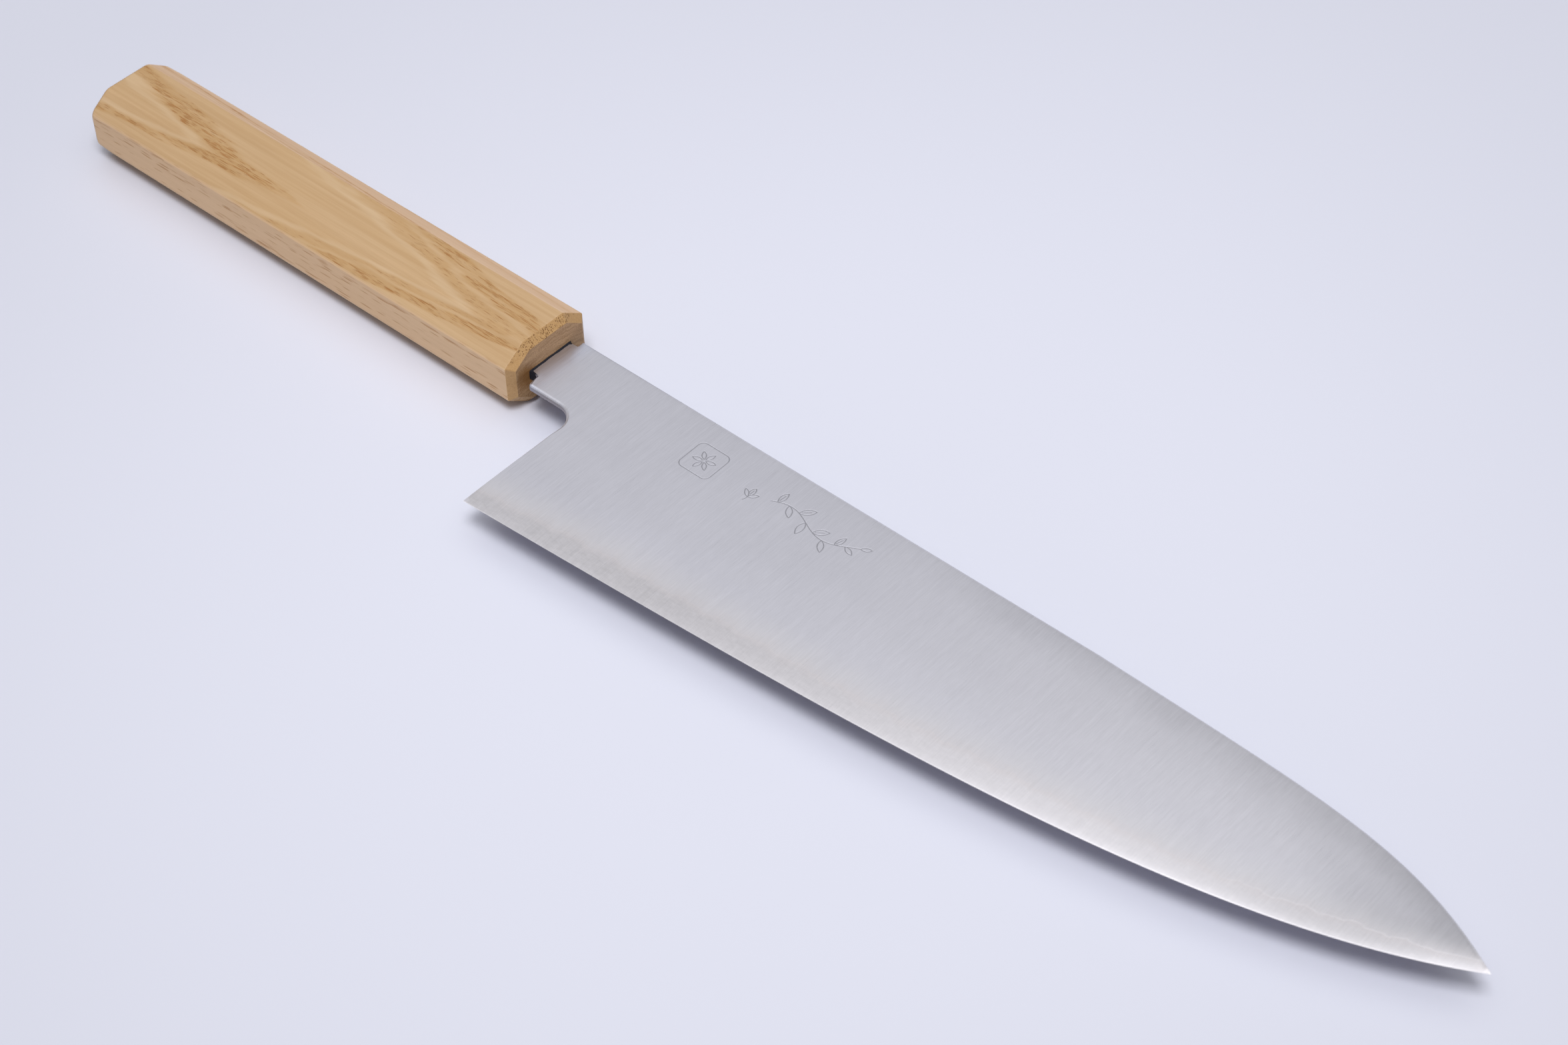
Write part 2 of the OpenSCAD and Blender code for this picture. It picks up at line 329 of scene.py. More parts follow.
def outline():
    """Outline, counter-clockwise seen from the right face, as rows of
    x, y, rounding; and how many rows lie on the edge before the point."""
    rows = []

    def run(points, rounding):
        for p in points[:-1]:
            rows.append((p[0], p[1],
                         rounding(p) if callable(rounding) else rounding))

    run(resample(EDGE, 0.9), 0.0)
    edge_count = len(rows)
    # point to upper shoulder along the spine, with short steps at the point
    spine = np.vstack([SPINE[::-1], [(SHOULDER_X, SPINE_Y)]])
    near = [0, 0.28, 0.62, 1.05, 1.5, 2.05]
    far = np.concatenate([np.linspace(near[-1], 110, 400),
                          [arc_length(spine)[-1]]])
    run(at_distance(spine, np.array(near)), spine_rounding)
    run(resample(at_distance(spine, far), 1.0), spine_rounding)
    # upper shoulder, round the tang, lower shoulder
    tang_r, shoulder_r = 0.12, 0.9
    collar_x, taper = -4, 0.15
    corners = [(SHOULDER_X, SPINE_Y), (SHOULDER_X, TANG_TOP),
               (collar_x, TANG_TOP - taper), (-TANG_LEN, TANG_END),
               (-TANG_LEN, -TANG_END), (collar_x, -TANG_BOT + taper),
               (SHOULDER_X, -TANG_BOT), (SHOULDER_X, -NECK_Y + shoulder_r)]
    for start, end, step, rounding in zip(
            corners, corners[1:], (0.3, 0.5, 4.0, 1.4, 4.0, 0.5, 0.3),
            (0.25, *[tang_r] * 5, lower_shoulder_rounding)):
        run(resample([start, end], step), rounding)
    turn = np.linspace(math.pi, 1.5 * math.pi, 7)
    run(np.column_stack([SHOULDER_X + shoulder_r + shoulder_r * np.cos(turn),
                         -NECK_Y + shoulder_r + shoulder_r * np.sin(turn)]), 0.7)
    # neck, choil and heel
    run(resample([(SHOULDER_X + shoulder_r, -NECK_Y), (CHOIL_X, -NECK_Y)], 0.6),
        0.85)
    turn = np.linspace(math.pi / 2, 0, 23)
    run(np.column_stack([CHOIL_X + CHOIL_R * np.cos(turn),
                         CHOIL_Y + CHOIL_R * np.sin(turn)]), choil_rounding)
    heel = resample([(HEEL_X + HEEL_LEAN, CHOIL_Y), (HEEL_X, -HEEL_Y)], 0.8)
    bevel_y = -HEEL_Y + float(bevel_width(HEEL_X))
    heel = heel[heel[:, 1] > bevel_y + 0.25]
    k = (bevel_y + HEEL_Y) / (CHOIL_Y + HEEL_Y)
    run(np.vstack([heel, [(HEEL_X + HEEL_LEAN * k, bevel_y)],
                   [(HEEL_X, -HEEL_Y)]]), choil_rounding)
    return np.array(rows), edge_count


def inward(loop):
    """Inward directions at each outline vertex: unit length, and mitred."""
    following = np.roll(loop, -1, 0) - loop
    previous = loop - np.roll(loop, 1, 0)
    a = previous / np.linalg.norm(previous, axis=1)[:, None]
    b = following / np.linalg.norm(following, axis=1)[:, None]
    normal_a = np.column_stack([-a[:, 1], a[:, 0]])
    middle = normal_a + np.column_stack([-b[:, 1], b[:, 0]])
    unit = middle / np.linalg.norm(middle, axis=1)[:, None]
    scale = 1 / np.maximum((unit * normal_a).sum(1), 0.35)
    return unit, unit * scale[:, None]


# Outline vertex TIP is the point; those before it lie on the cutting edge.
OUTLINE, TIP = outline()
OUT_XY, ROUNDING = OUTLINE[:, :2], OUTLINE[:, 2]
N_OUT = len(OUT_XY)
UNIT, MITRE = inward(OUT_XY)


# ------------------------------------------------ triangulated blade sheet
def edges_of(tri):
    """Sorted and directed form of each edge of a triangle."""
    for a, b in ((0, 1), (1, 2), (2, 0)):
        yield ((min(tri[a], tri[b]), max(tri[a], tri[b])), (tri[a], tri[b]))


def in_blank(x, y):
    """Which places lie inside the blade or tang, clear of the outline."""
    blade = ((x > HEEL_X + 0.6) & (y > edge_y(x) + 0.5)
             & (y < spine_y(x) - 0.7))
    neck = ((x > SHOULDER_X + 0.8) & (x <= HEEL_X + 0.6)
            & (y > -NECK_Y + 0.9) & (y < SPINE_Y - 0.7))
    from_choil = np.hypot(x - CHOIL_X, y - CHOIL_Y)
    under = ((x > CHOIL_X) & (x <= HEEL_X + 0.6) & (y <= -NECK_Y + 0.9)
             & (from_choil > CHOIL_R + 0.8) & (y > CHOIL_Y))
    half = TANG_END + (TANG_TOP - TANG_END) * (x + TANG_LEN) / (TANG_LEN + 2.5)
    tang = ((x < SHOULDER_X - 0.3) & (np.abs(y) < half - 0.5)
            & (x > -TANG_LEN + 0.6))
    return blade | neck | under | tang


def coarse_grid(step=1.25, tang_step=4.0):
    points = []
    row = 0
    y = -HEEL_Y
    while y < TOP:
        x = -TANG_LEN + (step / 2 if row % 2 else 0)
        while x < TIP_X:
            points.append((x, y))
            x += step if x > 0 else tang_step
        y += step * HEX
        row += 1
    points = np.array(points)
    return points[in_blank(points[:, 0], points[:, 1])]


def ornament_grid():
    """Fine points on the strokes and a looser belt around them."""
    fine = staggered_grid(43.6, -8.0, 54, 12.5, 0.095)
    loose = staggered_grid(42.6, -9.0, 56, 15, 0.4)
    gap = stroke_distance(loose[:, 0], loose[:, 1])
    return np.vstack([fine[stroke_distance(fine[:, 0], fine[:, 1]) < 0.30],
                      loose[(gap >= 0.42) & (gap < 1.5)]])


class Sheet:
    """Triangulation of blade and tang with the right face's heights.
    The first N_OUT points are the outline's."""

    def __init__(self, engraved):
        self.engraved = engraved
        self.xy, self.z, self.normals, self.edges = [], [], [], []
        self.ring_of = {}
        self.add_outline()
        self.add_bevel()
        self.add_line()
        self.add_free_points()
        self.xy, self.z, self.normals = (
            np.array(a) for a in (self.xy, self.z, self.normals))
        self.triangulate()
        self.set_core_height()
        self.find_covered()

    def add(self, point, height, normal):
        self.xy.append((float(point[0]), float(point[1])))
        self.z.append(float(height))
        self.normals.append(tuple(float(c) for c in normal))
        return len(self.xy) - 1

    def join(self, chain):
        self.edges.extend(zip(chain, chain[1:]))

    def add_outline(self):
        """The outline, and three rounding rings behind its walls."""
        height = face_height(OUT_XY[:, 0], OUT_XY[:, 1])
        normal = face_normal(OUT_XY[:, 0] + UNIT[:, 0] * 0.2,
                             OUT_XY[:, 1] + UNIT[:, 1] * 0.2, face_height)
        for i, r in enumerate(ROUNDING):
            if i <= TIP:
                self.add(OUT_XY[i], 0.0, (0, 0, 1))
            else:
                wall = (-UNIT[i, 0], -UNIT[i, 1], 0.0) if r > 0 else normal[i]
                self.add(OUT_XY[i], height[i] - r, wall)
        self.join([*range(N_OUT), 0])
        for k, degrees in ((1, 30), (2, 60), (3, 90)):
            angle = math.radians(degrees)
            cos, sin = math.cos(angle), math.sin(angle)
            last = None
            for i, r in enumerate(ROUNDING):
                if i < TIP or r <= 0:
                    last = None
                    continue
                p = OUT_XY[i] + MITRE[i] * (r * (1 - cos))
                h = float(face_height(p[0], p[1])) - r * (1 - sin)
                face = normal[i]
                turned = np.array([-UNIT[i, 0] * cos + face[0] * sin,
                                   -UNIT[i, 1] * cos + face[1] * sin,
                                   face[2] * sin])
                v = self.add(p, h, turned / np.linalg.norm(turned))
                self.ring_of[(i, k)] = v
                if last is not None:
                    self.edges.append((last, v))
                last = v

    def add_bevel(self):
        """Inner border of the micro bevel, from the heel to the point."""
        chain = [N_OUT - 1]
        for i in range(1, TIP):
            p = OUT_XY[i] + MITRE[i] * float(bevel_width(OUT_XY[i, 0]))
            if p[0] < HEEL_X + 0.5 or p[0] > TIP_X - 0.9:
                continue
            normal = face_normal(p[:1], p[1:], face_height)[0]
            chain.append(self.add(p, float(face_height(p[0], p[1])), normal))
        chain.append(TIP + 1)
        self.join(chain)
        self.bevel_set = set(chain)

    def add_line(self):
        """The line where the outer layer ends, from heel to spine."""
        walls = range(TIP, N_OUT)
        start = min((i for i in walls
                     if OUT_XY[i, 0] > 16 and OUT_XY[i, 1] < -20),
                    key=lambda i: abs(OUT_XY[i, 1] - LINE[0, 1]))
        end = min((i for i in walls if OUT_XY[i, 0] > 240
                   and OUT_XY[i, 1] > edge_y(OUT_XY[i, 0]) + 0.5),
                  key=lambda i: abs(OUT_XY[i, 0] - LINE_END_X))
        line = [start] + [self.ring_of[(start, k)] for k in (1, 2, 3)]
        back = [self.ring_of[(end, k)] for k in (3, 2, 1)] + [end]
        (x_from, y_from), (x_to, y_to) = self.xy[line[-1]], self.xy[back[0]]
        x = np.arange(x_from + 0.5, x_to - 0.35, 0.55)
        y = line_y(x)
        # meet both ends exactly
        y = y + (y_from - float(line_y(x_from))) * (1 - smooth(0, 5, x - x_from))
        y = y + (y_to - float(line_y(x_to))) * smooth(-4, 0, x - x_to)
        for point in zip(zip(x, y), face_height(x, y),
                         face_normal(x, y, face_height)):
            line.append(self.add(*point))
        self.line = line + back
        self.join(self.line)
        self.line_set = set(self.line)
        table = np.array([(*self.xy[v], self.z[v]) for v in self.line])
        table = table[np.argsort(table[:, 0])]
        self.line_x, self.line_y, self.line_z = table.T

    def add_free_points(self):
        taken = search_tree(self.xy)
        free = coarse_grid()
        if self.engraved:
            free = free[stroke_distance(free[:, 0], free[:, 1]) > 1.7]
        free = free[np.array([taken.find((p[0], p[1], 0))[2] > 0.55
                              for p in free])]
        if self.engraved:
            free = np.vstack([free, ornament_grid()])
        x, y = free[:, 0], free[:, 1]
        normals = face_normal(x, y, face_height)
        if self.engraved:
            height = engraved_height(x, y)
            close = stroke_distance(x, y) < 0.5
            normals[close] = face_normal(x[close], y[close], engraved_height,
                                         eps=0.035)
        else:
            height = face_height(x, y)
        for point in zip(free, height, normals):
            self.add(*point)

    def triangulate(self):
        verts, _, faces, sources, _, _ = delaunay_2d_cdt(
            [Vector(p) for p in self.xy], self.edges, [list(range(N_OUT))],
            1, JOIN_EPS, True)
        for vert, source in zip(verts, sources):
            if not source:
                raise RuntimeError("outline, rings or line cross at "
                                   + str(tuple(vert)))
        tris = np.array([[sources[v][0] for v in f] for f in faces])
        a, b, c = (self.xy[tris[:, k]] for k in range(3))
        area = ((b[:, 0] - a[:, 0]) * (c[:, 1] - a[:, 1])
                - (b[:, 1] - a[:, 1]) * (c[:, 0] - a[:, 0]))
        flip = area < 0
        tris[flip] = tris[flip][:, ::-1]
        tris = tris[np.abs(area) > 1e-9]
        a, b, c = (self.xy[tris[:, k]] for k in range(3))
        self.tris = tris[within(OUT_XY, (a + b + c) / 3)]
        self.bevel = np.array([all(v in self.bevel_set or v <= TIP for v in t)
                               for t in self.tris])

    def set_core_height(self):
        """Half thickness of the core under the outer layer."""
        x = self.xy[:, 0]
        half = np.interp(x, self.line_x, self.line_z)
        k = smooth(30, 17, x)
        half = half * (1 - k) + 0.35 * k
        self.core_z = np.minimum(half, self.z - 0.012)
        self.core_z[self.line] = self.z[self.line]

    def find_covered(self):
        """Marks the triangles on the spine side of the line by walking from
        a seed, so that the line itself is the only border."""
        tris = self.tris
        by_edge = {}
        for t, tri in enumerate(tris):
            for edge, _ in edges_of(tri):
                by_edge.setdefault(edge, []).append(t)
        cuts = {(min(e), max(e)) for e in zip(self.line, self.line[1:])}
        away = self.xy[tris].mean(1) - np.array([80.0, -15.0])
        seed = int(np.argmin(np.hypot(*away.T)))
        self.covered = np.zeros(len(tris), bool)
        self.covered[seed] = True
        stack = [seed]
        while stack:
            for edge, _ in edges_of(tris[stack.pop()]):
                if edge in cuts:
                    continue
                for other in by_edge[edge]:
                    if not self.covered[other]:
                        self.covered[other] = True
                        stack.append(other)
        # a triangle with all corners on the line would have no thickness
        for t, tri in enumerate(tris):
            if self.covered[t] and all(v in self.line_set for v in tri):
                self.covered[t] = False

    def attributes(self):
        """Per point: edge_d, line_d, spine_d, groove_d."""
        x, y = self.xy.T
        line_d = y - np.interp(x, self.line_x, self.line_y)
        line_d = np.where(x > self.line_x[-1], -0.8, line_d)
        line_d = np.where(x < 17.3, 30.0, line_d)
        edge_d = np.where(x < 17.0, 30.0, y - edge_y(x))
        groove_d = stroke_distance(x, y) if self.engraved \
            else np.full(len(x), NO_STROKE)
        return np.column_stack([edge_d, line_d, spine_y(x) - y, groove_d])

    def bevel_normals(self):
        """Right-face normal of the micro bevel nearest to each point."""
        tangent = np.gradient(EDGE, axis=0)
        tangent /= np.linalg.norm(tangent, axis=1)[:, None]
        tx, ty = (np.interp(self.xy[:, 0], EDGE[:, 0], tangent[:, k])
                  for k in range(2))
        tilt = math.radians(14)
        normal = np.column_stack([ty * math.sin(tilt), -tx * math.sin(tilt),
                                  np.full(len(tx), math.cos(tilt))])
        return normal / np.linalg.norm(normal, axis=1)[:, None]

    def borders(self, mask):
        """Edges used once by the masked triangles, with outward normals."""
        use = {}
        for t in np.nonzero(mask)[0]:
            for edge, directed in edges_of(self.tris[t]):
                use.setdefault(edge, []).append(directed)
        for directed in use.values():
            if len(directed) == 1:
                a, b = directed[0]
                along = self.xy[b] - self.xy[a]
                normal = np.array([along[1], -along[0], 0.0])
                yield a, b, normal / np.linalg.norm(normal)


# --------------------------------------------------------- mesh helpers
class Shell:
    """Vertices and faces, optionally with a normal per face corner and a
    row of attributes per vertex."""
    ATTRIBUTES = ("edge_d", "line_d", "spine_d", "groove_d")

    def __init__(self):
        self.verts, self.faces, self.normals, self.attrs = [], [], [], []

    def vert(self, point, attrs=None):
        self.verts.append(point)
        if attrs is not None:
            self.attrs.append(attrs)
        return len(self.verts) - 1

    def face(self, corners, normals=()):
        """Adds a face without its repeated corners."""
        keep = [k for k, v in enumerate(corners) if v not in corners[:k]]
        if len(keep) < 3:
            return
        self.faces.append([corners[k] for k in keep])
        if normals:
            self.normals.extend(normals[k] for k in keep)


def piece(name, shell, node, material):
    mesh = bpy.data.meshes.new(name)
    mesh.from_pydata([tuple(float(c) * MM for c in v) for v in shell.verts], [],
                     [tuple(int(i) for i in f) for f in shell.faces])
    mesh.validate(clean_customdata=False)
    mesh.update()
    mesh.polygons.foreach_set("use_smooth", [True] * len(mesh.polygons))
    if shell.attrs:
        for key, values in zip(Shell.ATTRIBUTES, np.array(shell.attrs).T):
            attribute = mesh.attributes.new(key, "FLOAT", "POINT")
            attribute.data.foreach_set(
                "value", np.ascontiguousarray(values, np.float32))
    if shell.normals:
        mesh.normals_split_custom_set([tuple(float(c) for c in n)
                                       for n in shell.normals])
    obj = bpy.data.objects.new(name, mesh)
    bpy.context.scene.collection.objects.link(obj)
    obj.location = HOME
    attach(obj, "root")
    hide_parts(node)
    mesh.materials.append(material)
    return obj


# --------------------------------------------------------- steel layers
UP = np.array([0, 0, 1.0])


def core_shell(sheet):
    """Blade and tang: full thickness below the line, thinner above it."""
    xy, tris = sheet.xy, sheet.tris
    attrs = sheet.attributes()
    bevel = sheet.bevel_normals()
    shell = Shell()
    covered = set(tris[sheet.covered].ravel()) - sheet.line_set
    top, bottom = {}, {}
    for v in np.unique(tris):
        h = max(sheet.core_z[v] if v in covered else sheet.z[v], 0.0)
        top[v] = shell.vert((xy[v, 0], xy[v, 1], h), attrs[v])
        bottom[v] = top[v] if h <= 1e-9 \
            else shell.vert((xy[v, 0], xy[v, 1], -h), attrs[v])
    flip = np.array([1, 1, -1.0])
    for t, tri in enumerate(tris):
        if sheet.covered[t]:
            normals = [UP] * 3
        elif sheet.bevel[t]:
            normals = [bevel[v] for v in tri]
        else:
            normals = [bevel[v] if v <= TIP else sheet.normals[v] for v in tri]
        shell.face([top[v] for v in tri], normals)
        shell.face([bottom[v] for v in tri[::-1]],
                   [n * flip for n in normals[::-1]])
    for a, b, normal in sheet.borders(np.ones(len(tris), bool)):
        shell.face([top[b], top[a], bottom[a], bottom[b]], [normal] * 4)
    return shell


def cladding_shell(sheet, sign):
    """Outer layer above the line; sign is 1 on the right, -1 on the left."""
    xy, tris = sheet.xy, sheet.tris[sheet.covered]
    attrs = sheet.attributes()
    shell = Shell()
    outer, inner = {}, {}
    for v in np.unique(tris):
        outer[v] = shell.vert((xy[v, 0], xy[v, 1], sign * sheet.z[v]), attrs[v])
        inner[v] = outer[v] if v in sheet.line_set else shell.vert(
            (xy[v, 0], xy[v, 1], sign * sheet.core_z[v]), attrs[v])

    def face(corners, normals):
        shell.face(corners[::sign], normals[::sign])

    flip = np.array([1, 1, float(sign)])
    for tri in tris:
        face([outer[v] for v in tri], [sheet.normals[v] * flip for v in tri])
        face([inner[v] for v in tri[::-1]], [-UP * sign] * 3)
    for a, b, normal in sheet.borders(sheet.covered):
        if not (a in sheet.line_set and b in sheet.line_set):
            face([outer[b], outer[a], inner[a], inner[b]], [normal] * 4)
    return shell


# --------------------------------------------------------- wooden handle
SLOT_HALF, SLOT_HALF_IN = 1.34, 1.95    # half width at the mouth and deeper
SLOT_TOP, SLOT_BOT = TANG_TOP + 0.45, TANG_BOT + 0.42
SLOT_END_X = -TANG_LEN - 0.6
MOUTH_ROUGH = 0.12


def octagon_section(inset, fillet):
    """Octagon with softened corners: 48 points (y, z) and their normals."""
    slant = math.hypot(FACET_W, FACET_T)
    reach = (HALF_W * FACET_T + (HALF_T - FACET_T) * FACET_W) / slant
    # facet normals, from +y toward +z and round
    ny, nz = FACET_T / slant, FACET_W / slant
    facets = [((1, 0), HALF_W), ((ny, nz), reach), ((0, 1), HALF_T),
              ((-ny, nz), reach), ((-1, 0), HALF_W), ((-ny, -nz), reach),
              ((0, -1), HALF_T), ((ny, -nz), reach)]
    facets = [(np.array(n, float), d - inset) for n, d in facets]
    points, normals = [], []
    for i in range(8):
        (n0, d0), (n1, d1), (n2, d2) = (facets[(i + k) % 8] for k in range(3))
        corner = np.linalg.solve(np.array([n0, n1]), np.array([d0, d1]))
        half = math.acos(max(-1, min(1, float(n0 @ n1)))) / 2
        centre = corner - (n0 + n1) / np.linalg.norm(n0 + n1) \
            * fillet / math.cos(half)
        start = math.atan2(n0[1], n0[0])
        for k in range(5):
            angle = start + 2 * half * k / 4
            direction = np.array([math.cos(angle), math.sin(angle)])
            points.append(centre + direction * fillet)
            normals.append(direction)
        # one point in the middle of the next facet
        corner2 = np.linalg.solve(np.array([n1, n2]), np.array([d1, d2]))
        points.append((corner + corner2) / 2)
        normals.append(n1)
    return np.array(points), np.array(normals)


def slot_outline(x, rough):
    """The tang slot at x as a closed list of (y, z), with filed corners."""
    k = min(1.0, max(0.0, -x / TANG_LEN))
    top = SLOT_TOP + (TANG_END - TANG_TOP) * k
    bot = SLOT_BOT + (TANG_END - TANG_BOT) * k
    half = SLOT_HALF + (SLOT_HALF_IN - SLOT_HALF) * float(smooth(-1.6, -2.9, x))
    r = 0.40
    n_side, n_end, n_arc = 30, 6, 5
    points = []

    def line(p, q, count):
        for i in range(count):
            t = i / count
            points.append((p[0] + (q[0] - p[0]) * t, p[1] + (q[1] - p[1]) * t))

    def arc(cy, cz, start):
        for i in range(n_arc):
            angle = math.radians(start + 90 * i / n_arc)
            points.append((cy + r * math.cos(angle), cz + r * math.sin(angle)))

    line((top, -half + r), (top, half - r), n_end)
    arc(top - r, half - r, 0)
    line((top - r, half), (-bot + r, half), n_side)
    arc(-bot + r, half - r, 90)
    line((-bot, half - r), (-bot, -half + r), n_end)
    arc(-bot + r, -half + r, 180)
    line((-bot + r, -half), (top - r, -half), n_side)
    arc(top - r, -half + r, 270)
    points = np.array(points)
    out = points - np.array([(top - bot) / 2, 0.0])
    turn = np.arange(len(points)) * 2 * math.pi / len(points)
    wave = rough * (np.sin(turn * 7 + 1.0) + 0.7 * np.sin(turn * 13 + 2.0)
                    + 0.6 * np.sin(turn * 23 + 0.3)) / 2.3
    return points + out / np.linalg.norm(out, axis=1)[:, None] \
        * wave[:, None] * np.array([0.6, 1.0])


def handle_profile():
    """Sections from butt to front: x, inset, tilt of the normal towards +x,
    fillet of the octagon's corners."""
    sections = []
    butt_r = 1.3
    for degrees in (90, 72, 54, 36, 18, 0):
        angle = math.radians(degrees)
        sections.append((-HANDLE_LEN + butt_r - butt_r * math.sin(angle),
                         butt_r * (1 - math.cos(angle)), -angle, 2.8))
    sections.append((-HANDLE_LEN + 2.6, 0.0, 0.0, 2.2))
    for x in (-HANDLE_LEN + 6, -HANDLE_LEN * 0.75, -HANDLE_LEN * 0.5,
              -HANDLE_LEN * 0.25, -8.0):
        sections.append((x, 0.0, 0.0, 1.3 if x < -10 else 1.0))
    # soft turn into the front bevel
    slope = math.atan2(BEVEL_DEPTH, BEVEL_LEN)
    turn_r = 0.45
    cut = turn_r * math.tan(slope / 2)
    for k in range(5):
        angle = slope * k / 4
        sections.append((-BEVEL_LEN - cut + turn_r * math.sin(angle),
                         turn_r * (1 - math.cos(angle)), angle, 0.85 - 0.08 * k))
    for u in (0.35, 0.65):
        sections.append((-BEVEL_LEN * (1 - u), BEVEL_DEPTH * u, slope, 0.5))
    # soft turn onto the front face
    rim_r = 0.22
    turn = math.pi / 2 - slope
    cut = rim_r * math.tan(turn / 2)
    for k in range(4):
        angle = slope + turn * k / 3
        sections.append((-rim_r + rim_r * math.sin(angle),
                         BEVEL_DEPTH + cut - rim_r * math.cos(angle),
                         angle, 0.45))
    return sections


def add_front_face(shell, rim):
    """Fills between the rim and the slot's mouth; returns the mouth."""
    mouth = slot_outline(0.0, MOUTH_ROUGH)
    outer = np.array([shell.verts[v][1:] for v in rim])
    n_rim, n_mouth = len(outer), len(mouth)
    edges = [(i, (i + 1) % n_rim) for i in range(n_rim)] \
        + [(n_rim + i, n_rim + (i + 1) % n_mouth) for i in range(n_mouth)]
    extra = []
    for k in range(1, 4):
        t = k / 4
        for m in mouth[::2]:
            nearest = outer[np.argmin(np.hypot(*(outer - m * 1.6).T))]
            p = m * (1 - t) + nearest * t
            if all(math.hypot(p[0] - q[0], p[1] - q[1]) > 0.35 for q in extra):
                extra.append((float(p[0]), float(p[1])))
    points = [tuple(p) for p in outer] + [tuple(p) for p in mouth] + extra
    places, _, faces, sources, _, _ = delaunay_2d_cdt(
        [Vector(p) for p in points], edges, [], 0, JOIN_EPS, True)
    index = {}
    mouth_row = [None] * n_mouth
    for i, source in enumerate(sources):
        k = source[0]
        if k < n_rim:
            index[i] = rim[k]
            continue
        index[i] = shell.vert((0.0, float(places[i][0]), float(places[i][1])))
        if k < n_rim + n_mouth:
            mouth_row[k - n_rim] = index[i]
    middles = np.array([tuple(sum((places[i] for i in f), Vector((0, 0))) / len(f))
                        for f in faces])
    for f, hollow in zip(faces, within(mouth, middles)):
        if hollow:
            continue
        p = [places[i] for i in f]
        area = (p[1][0] - p[0][0]) * (p[2][1] - p[0][1]) \
            - (p[1][1] - p[0][1]) * (p[2][0] - p[0][0])
        corners = [index[i] for i in f]
        shell.face(corners[::-1] if area < 0 else corners,
                   [(1, 0, 0)] * len(corners))
    return mouth_row


def handle_shell():
    shell = Shell()
    normals, rows = [], []
    for x, inset, tilt, fillet in handle_profile():
        row = []
        for (y, z), (ny, nz) in zip(*octagon_section(inset, fillet)):
            row.append(shell.vert((x, y, z)))
            normals.append((math.sin(tilt), ny * math.cos(tilt),
                            nz * math.cos(tilt)))
        rows.append(row)
    n = len(rows[0])
    for a, b in zip(rows, rows[1:]):
        for i in range(n):
            j = (i + 1) % n
            quad = [a[j], b[j], b[i], a[i]]
            shell.face(quad, [normals[v] for v in quad])
    centre = shell.vert((-HANDLE_LEN, 0, 0))
    for i in range(n):
        shell.face([centre, rows[0][(i + 1) % n], rows[0][i]], [(-1, 0, 0)] * 3)
    last = add_front_face(shell, rows[-1])
    # slot walls, going in
    n = len(last)
    for x in (-0.35, -1.6, -2.9, -12.0, -40.0, SLOT_END_X):
        shape = slot_outline(x, MOUTH_ROUGH if x > -2 else 0.04)
        row = [shell.vert((x, float(y), float(z))) for y, z in shape]
        for i in range(n):
            j = (i + 1) % n
            along = shape[j] - shape[i]
            normal = np.array([0, -along[1], along[0]])
            normal = normal / np.linalg.norm(normal)
            shell.face([last[i], last[j], row[j], row[i]], [tuple(normal)] * 4)
        last = row
    end = shell.vert((SLOT_END_X, 0.0, 0.0))
    for i in range(n):
        shell.face([end, last[i], last[(i + 1) % n]], [(1, 0, 0)] * 3)
    return shell


# ------------------------------------------------------------ mouth seal
SEAL_BACK, SEAL_FRONT = -3.0, 0.48
# x, how far from the slot wall to the tang (0 to 1), share of the noise
SEAL_PROFILE = ((SEAL_BACK, 0.0, 0.0), (-0.55, 0.0, 0.0), (-0.12, 0.03, 0.25),
                (0.03, 0.25, 0.8), (0.10, 0.5, 1.0), (0.20, 0.75, 1.0),
                (0.34, 0.92, 1.0), (SEAL_FRONT, 1.0, 0.8))


def seal_shell():
    """Resin around the tang: fills the slot's mouth and is drawn up a
    little on the steel, most on its edge side."""
    shell = Shell()
    outer = slot_outline(0.0, MOUTH_ROUGH)
    n = len(outer)
    noise = [0.0] * n
    rng = random.Random(77)
    for amount, waves in ((1.0, 3), (0.8, 5), (0.7, 9), (0.5, 16), (0.4, 27)):
        phase = rng.uniform(0, 6.28)
        for i in range(n):
            noise[i] += amount * math.sin(2 * math.pi * waves * i / n + phase) / 2.2
    inner = np.column_stack([
        np.clip(outer[:, 0], -(TANG_BOT - 0.1), TANG_TOP - 0.1),
        np.clip(outer[:, 1], -TANG_HALF, TANG_HALF)])
    low = smooth(-5.9, -6.25, inner[:, 0])      # 1 at the edge side
    high = smooth(5.6, 6.2, inner[:, 0])        # 1 at the spine side
    rows = []
    for x, t, share in SEAL_PROFILE:
        row = []
        for i in range(n):
            out = outer[i] - inner[i]
            length = np.linalg.norm(out)
            out = out / max(length, 1e-6)
            px = x + share * 0.10 * noise[i]
            place = inner[i] + out * (length * (1 - t) * 0.995 + 0.012)
            if x > 0.05:
                px += low[i] * (x / SEAL_FRONT) * (1.75 + 0.2 * noise[i])
                px += high[i] * (x / SEAL_FRONT) * 0.5
                place = place + out * low[i] * 0.10 * (1 - x / 0.62)
            row.append(shell.vert((px, float(place[0]), float(place[1]))))
        rows.append(row)
    # several points of the slot share one corner of the tang
    row = []
    for i in range(n):
        q = (SEAL_BACK, float(inner[i][0]), float(inner[i][1]))
        if row and q == shell.verts[row[-1]]:
            row.append(row[-1])
        elif row and i == n - 1 and q == shell.verts[row[0]]:
            row.append(row[0])
        else:
            row.append(shell.vert(q))
    rows.append(row)
    for a, b in zip(rows, rows[1:] + rows[:1]):
        for i in range(n):
            j = (i + 1) % n
            shell.face([a[j], b[j], b[i], a[i]])
    return shell


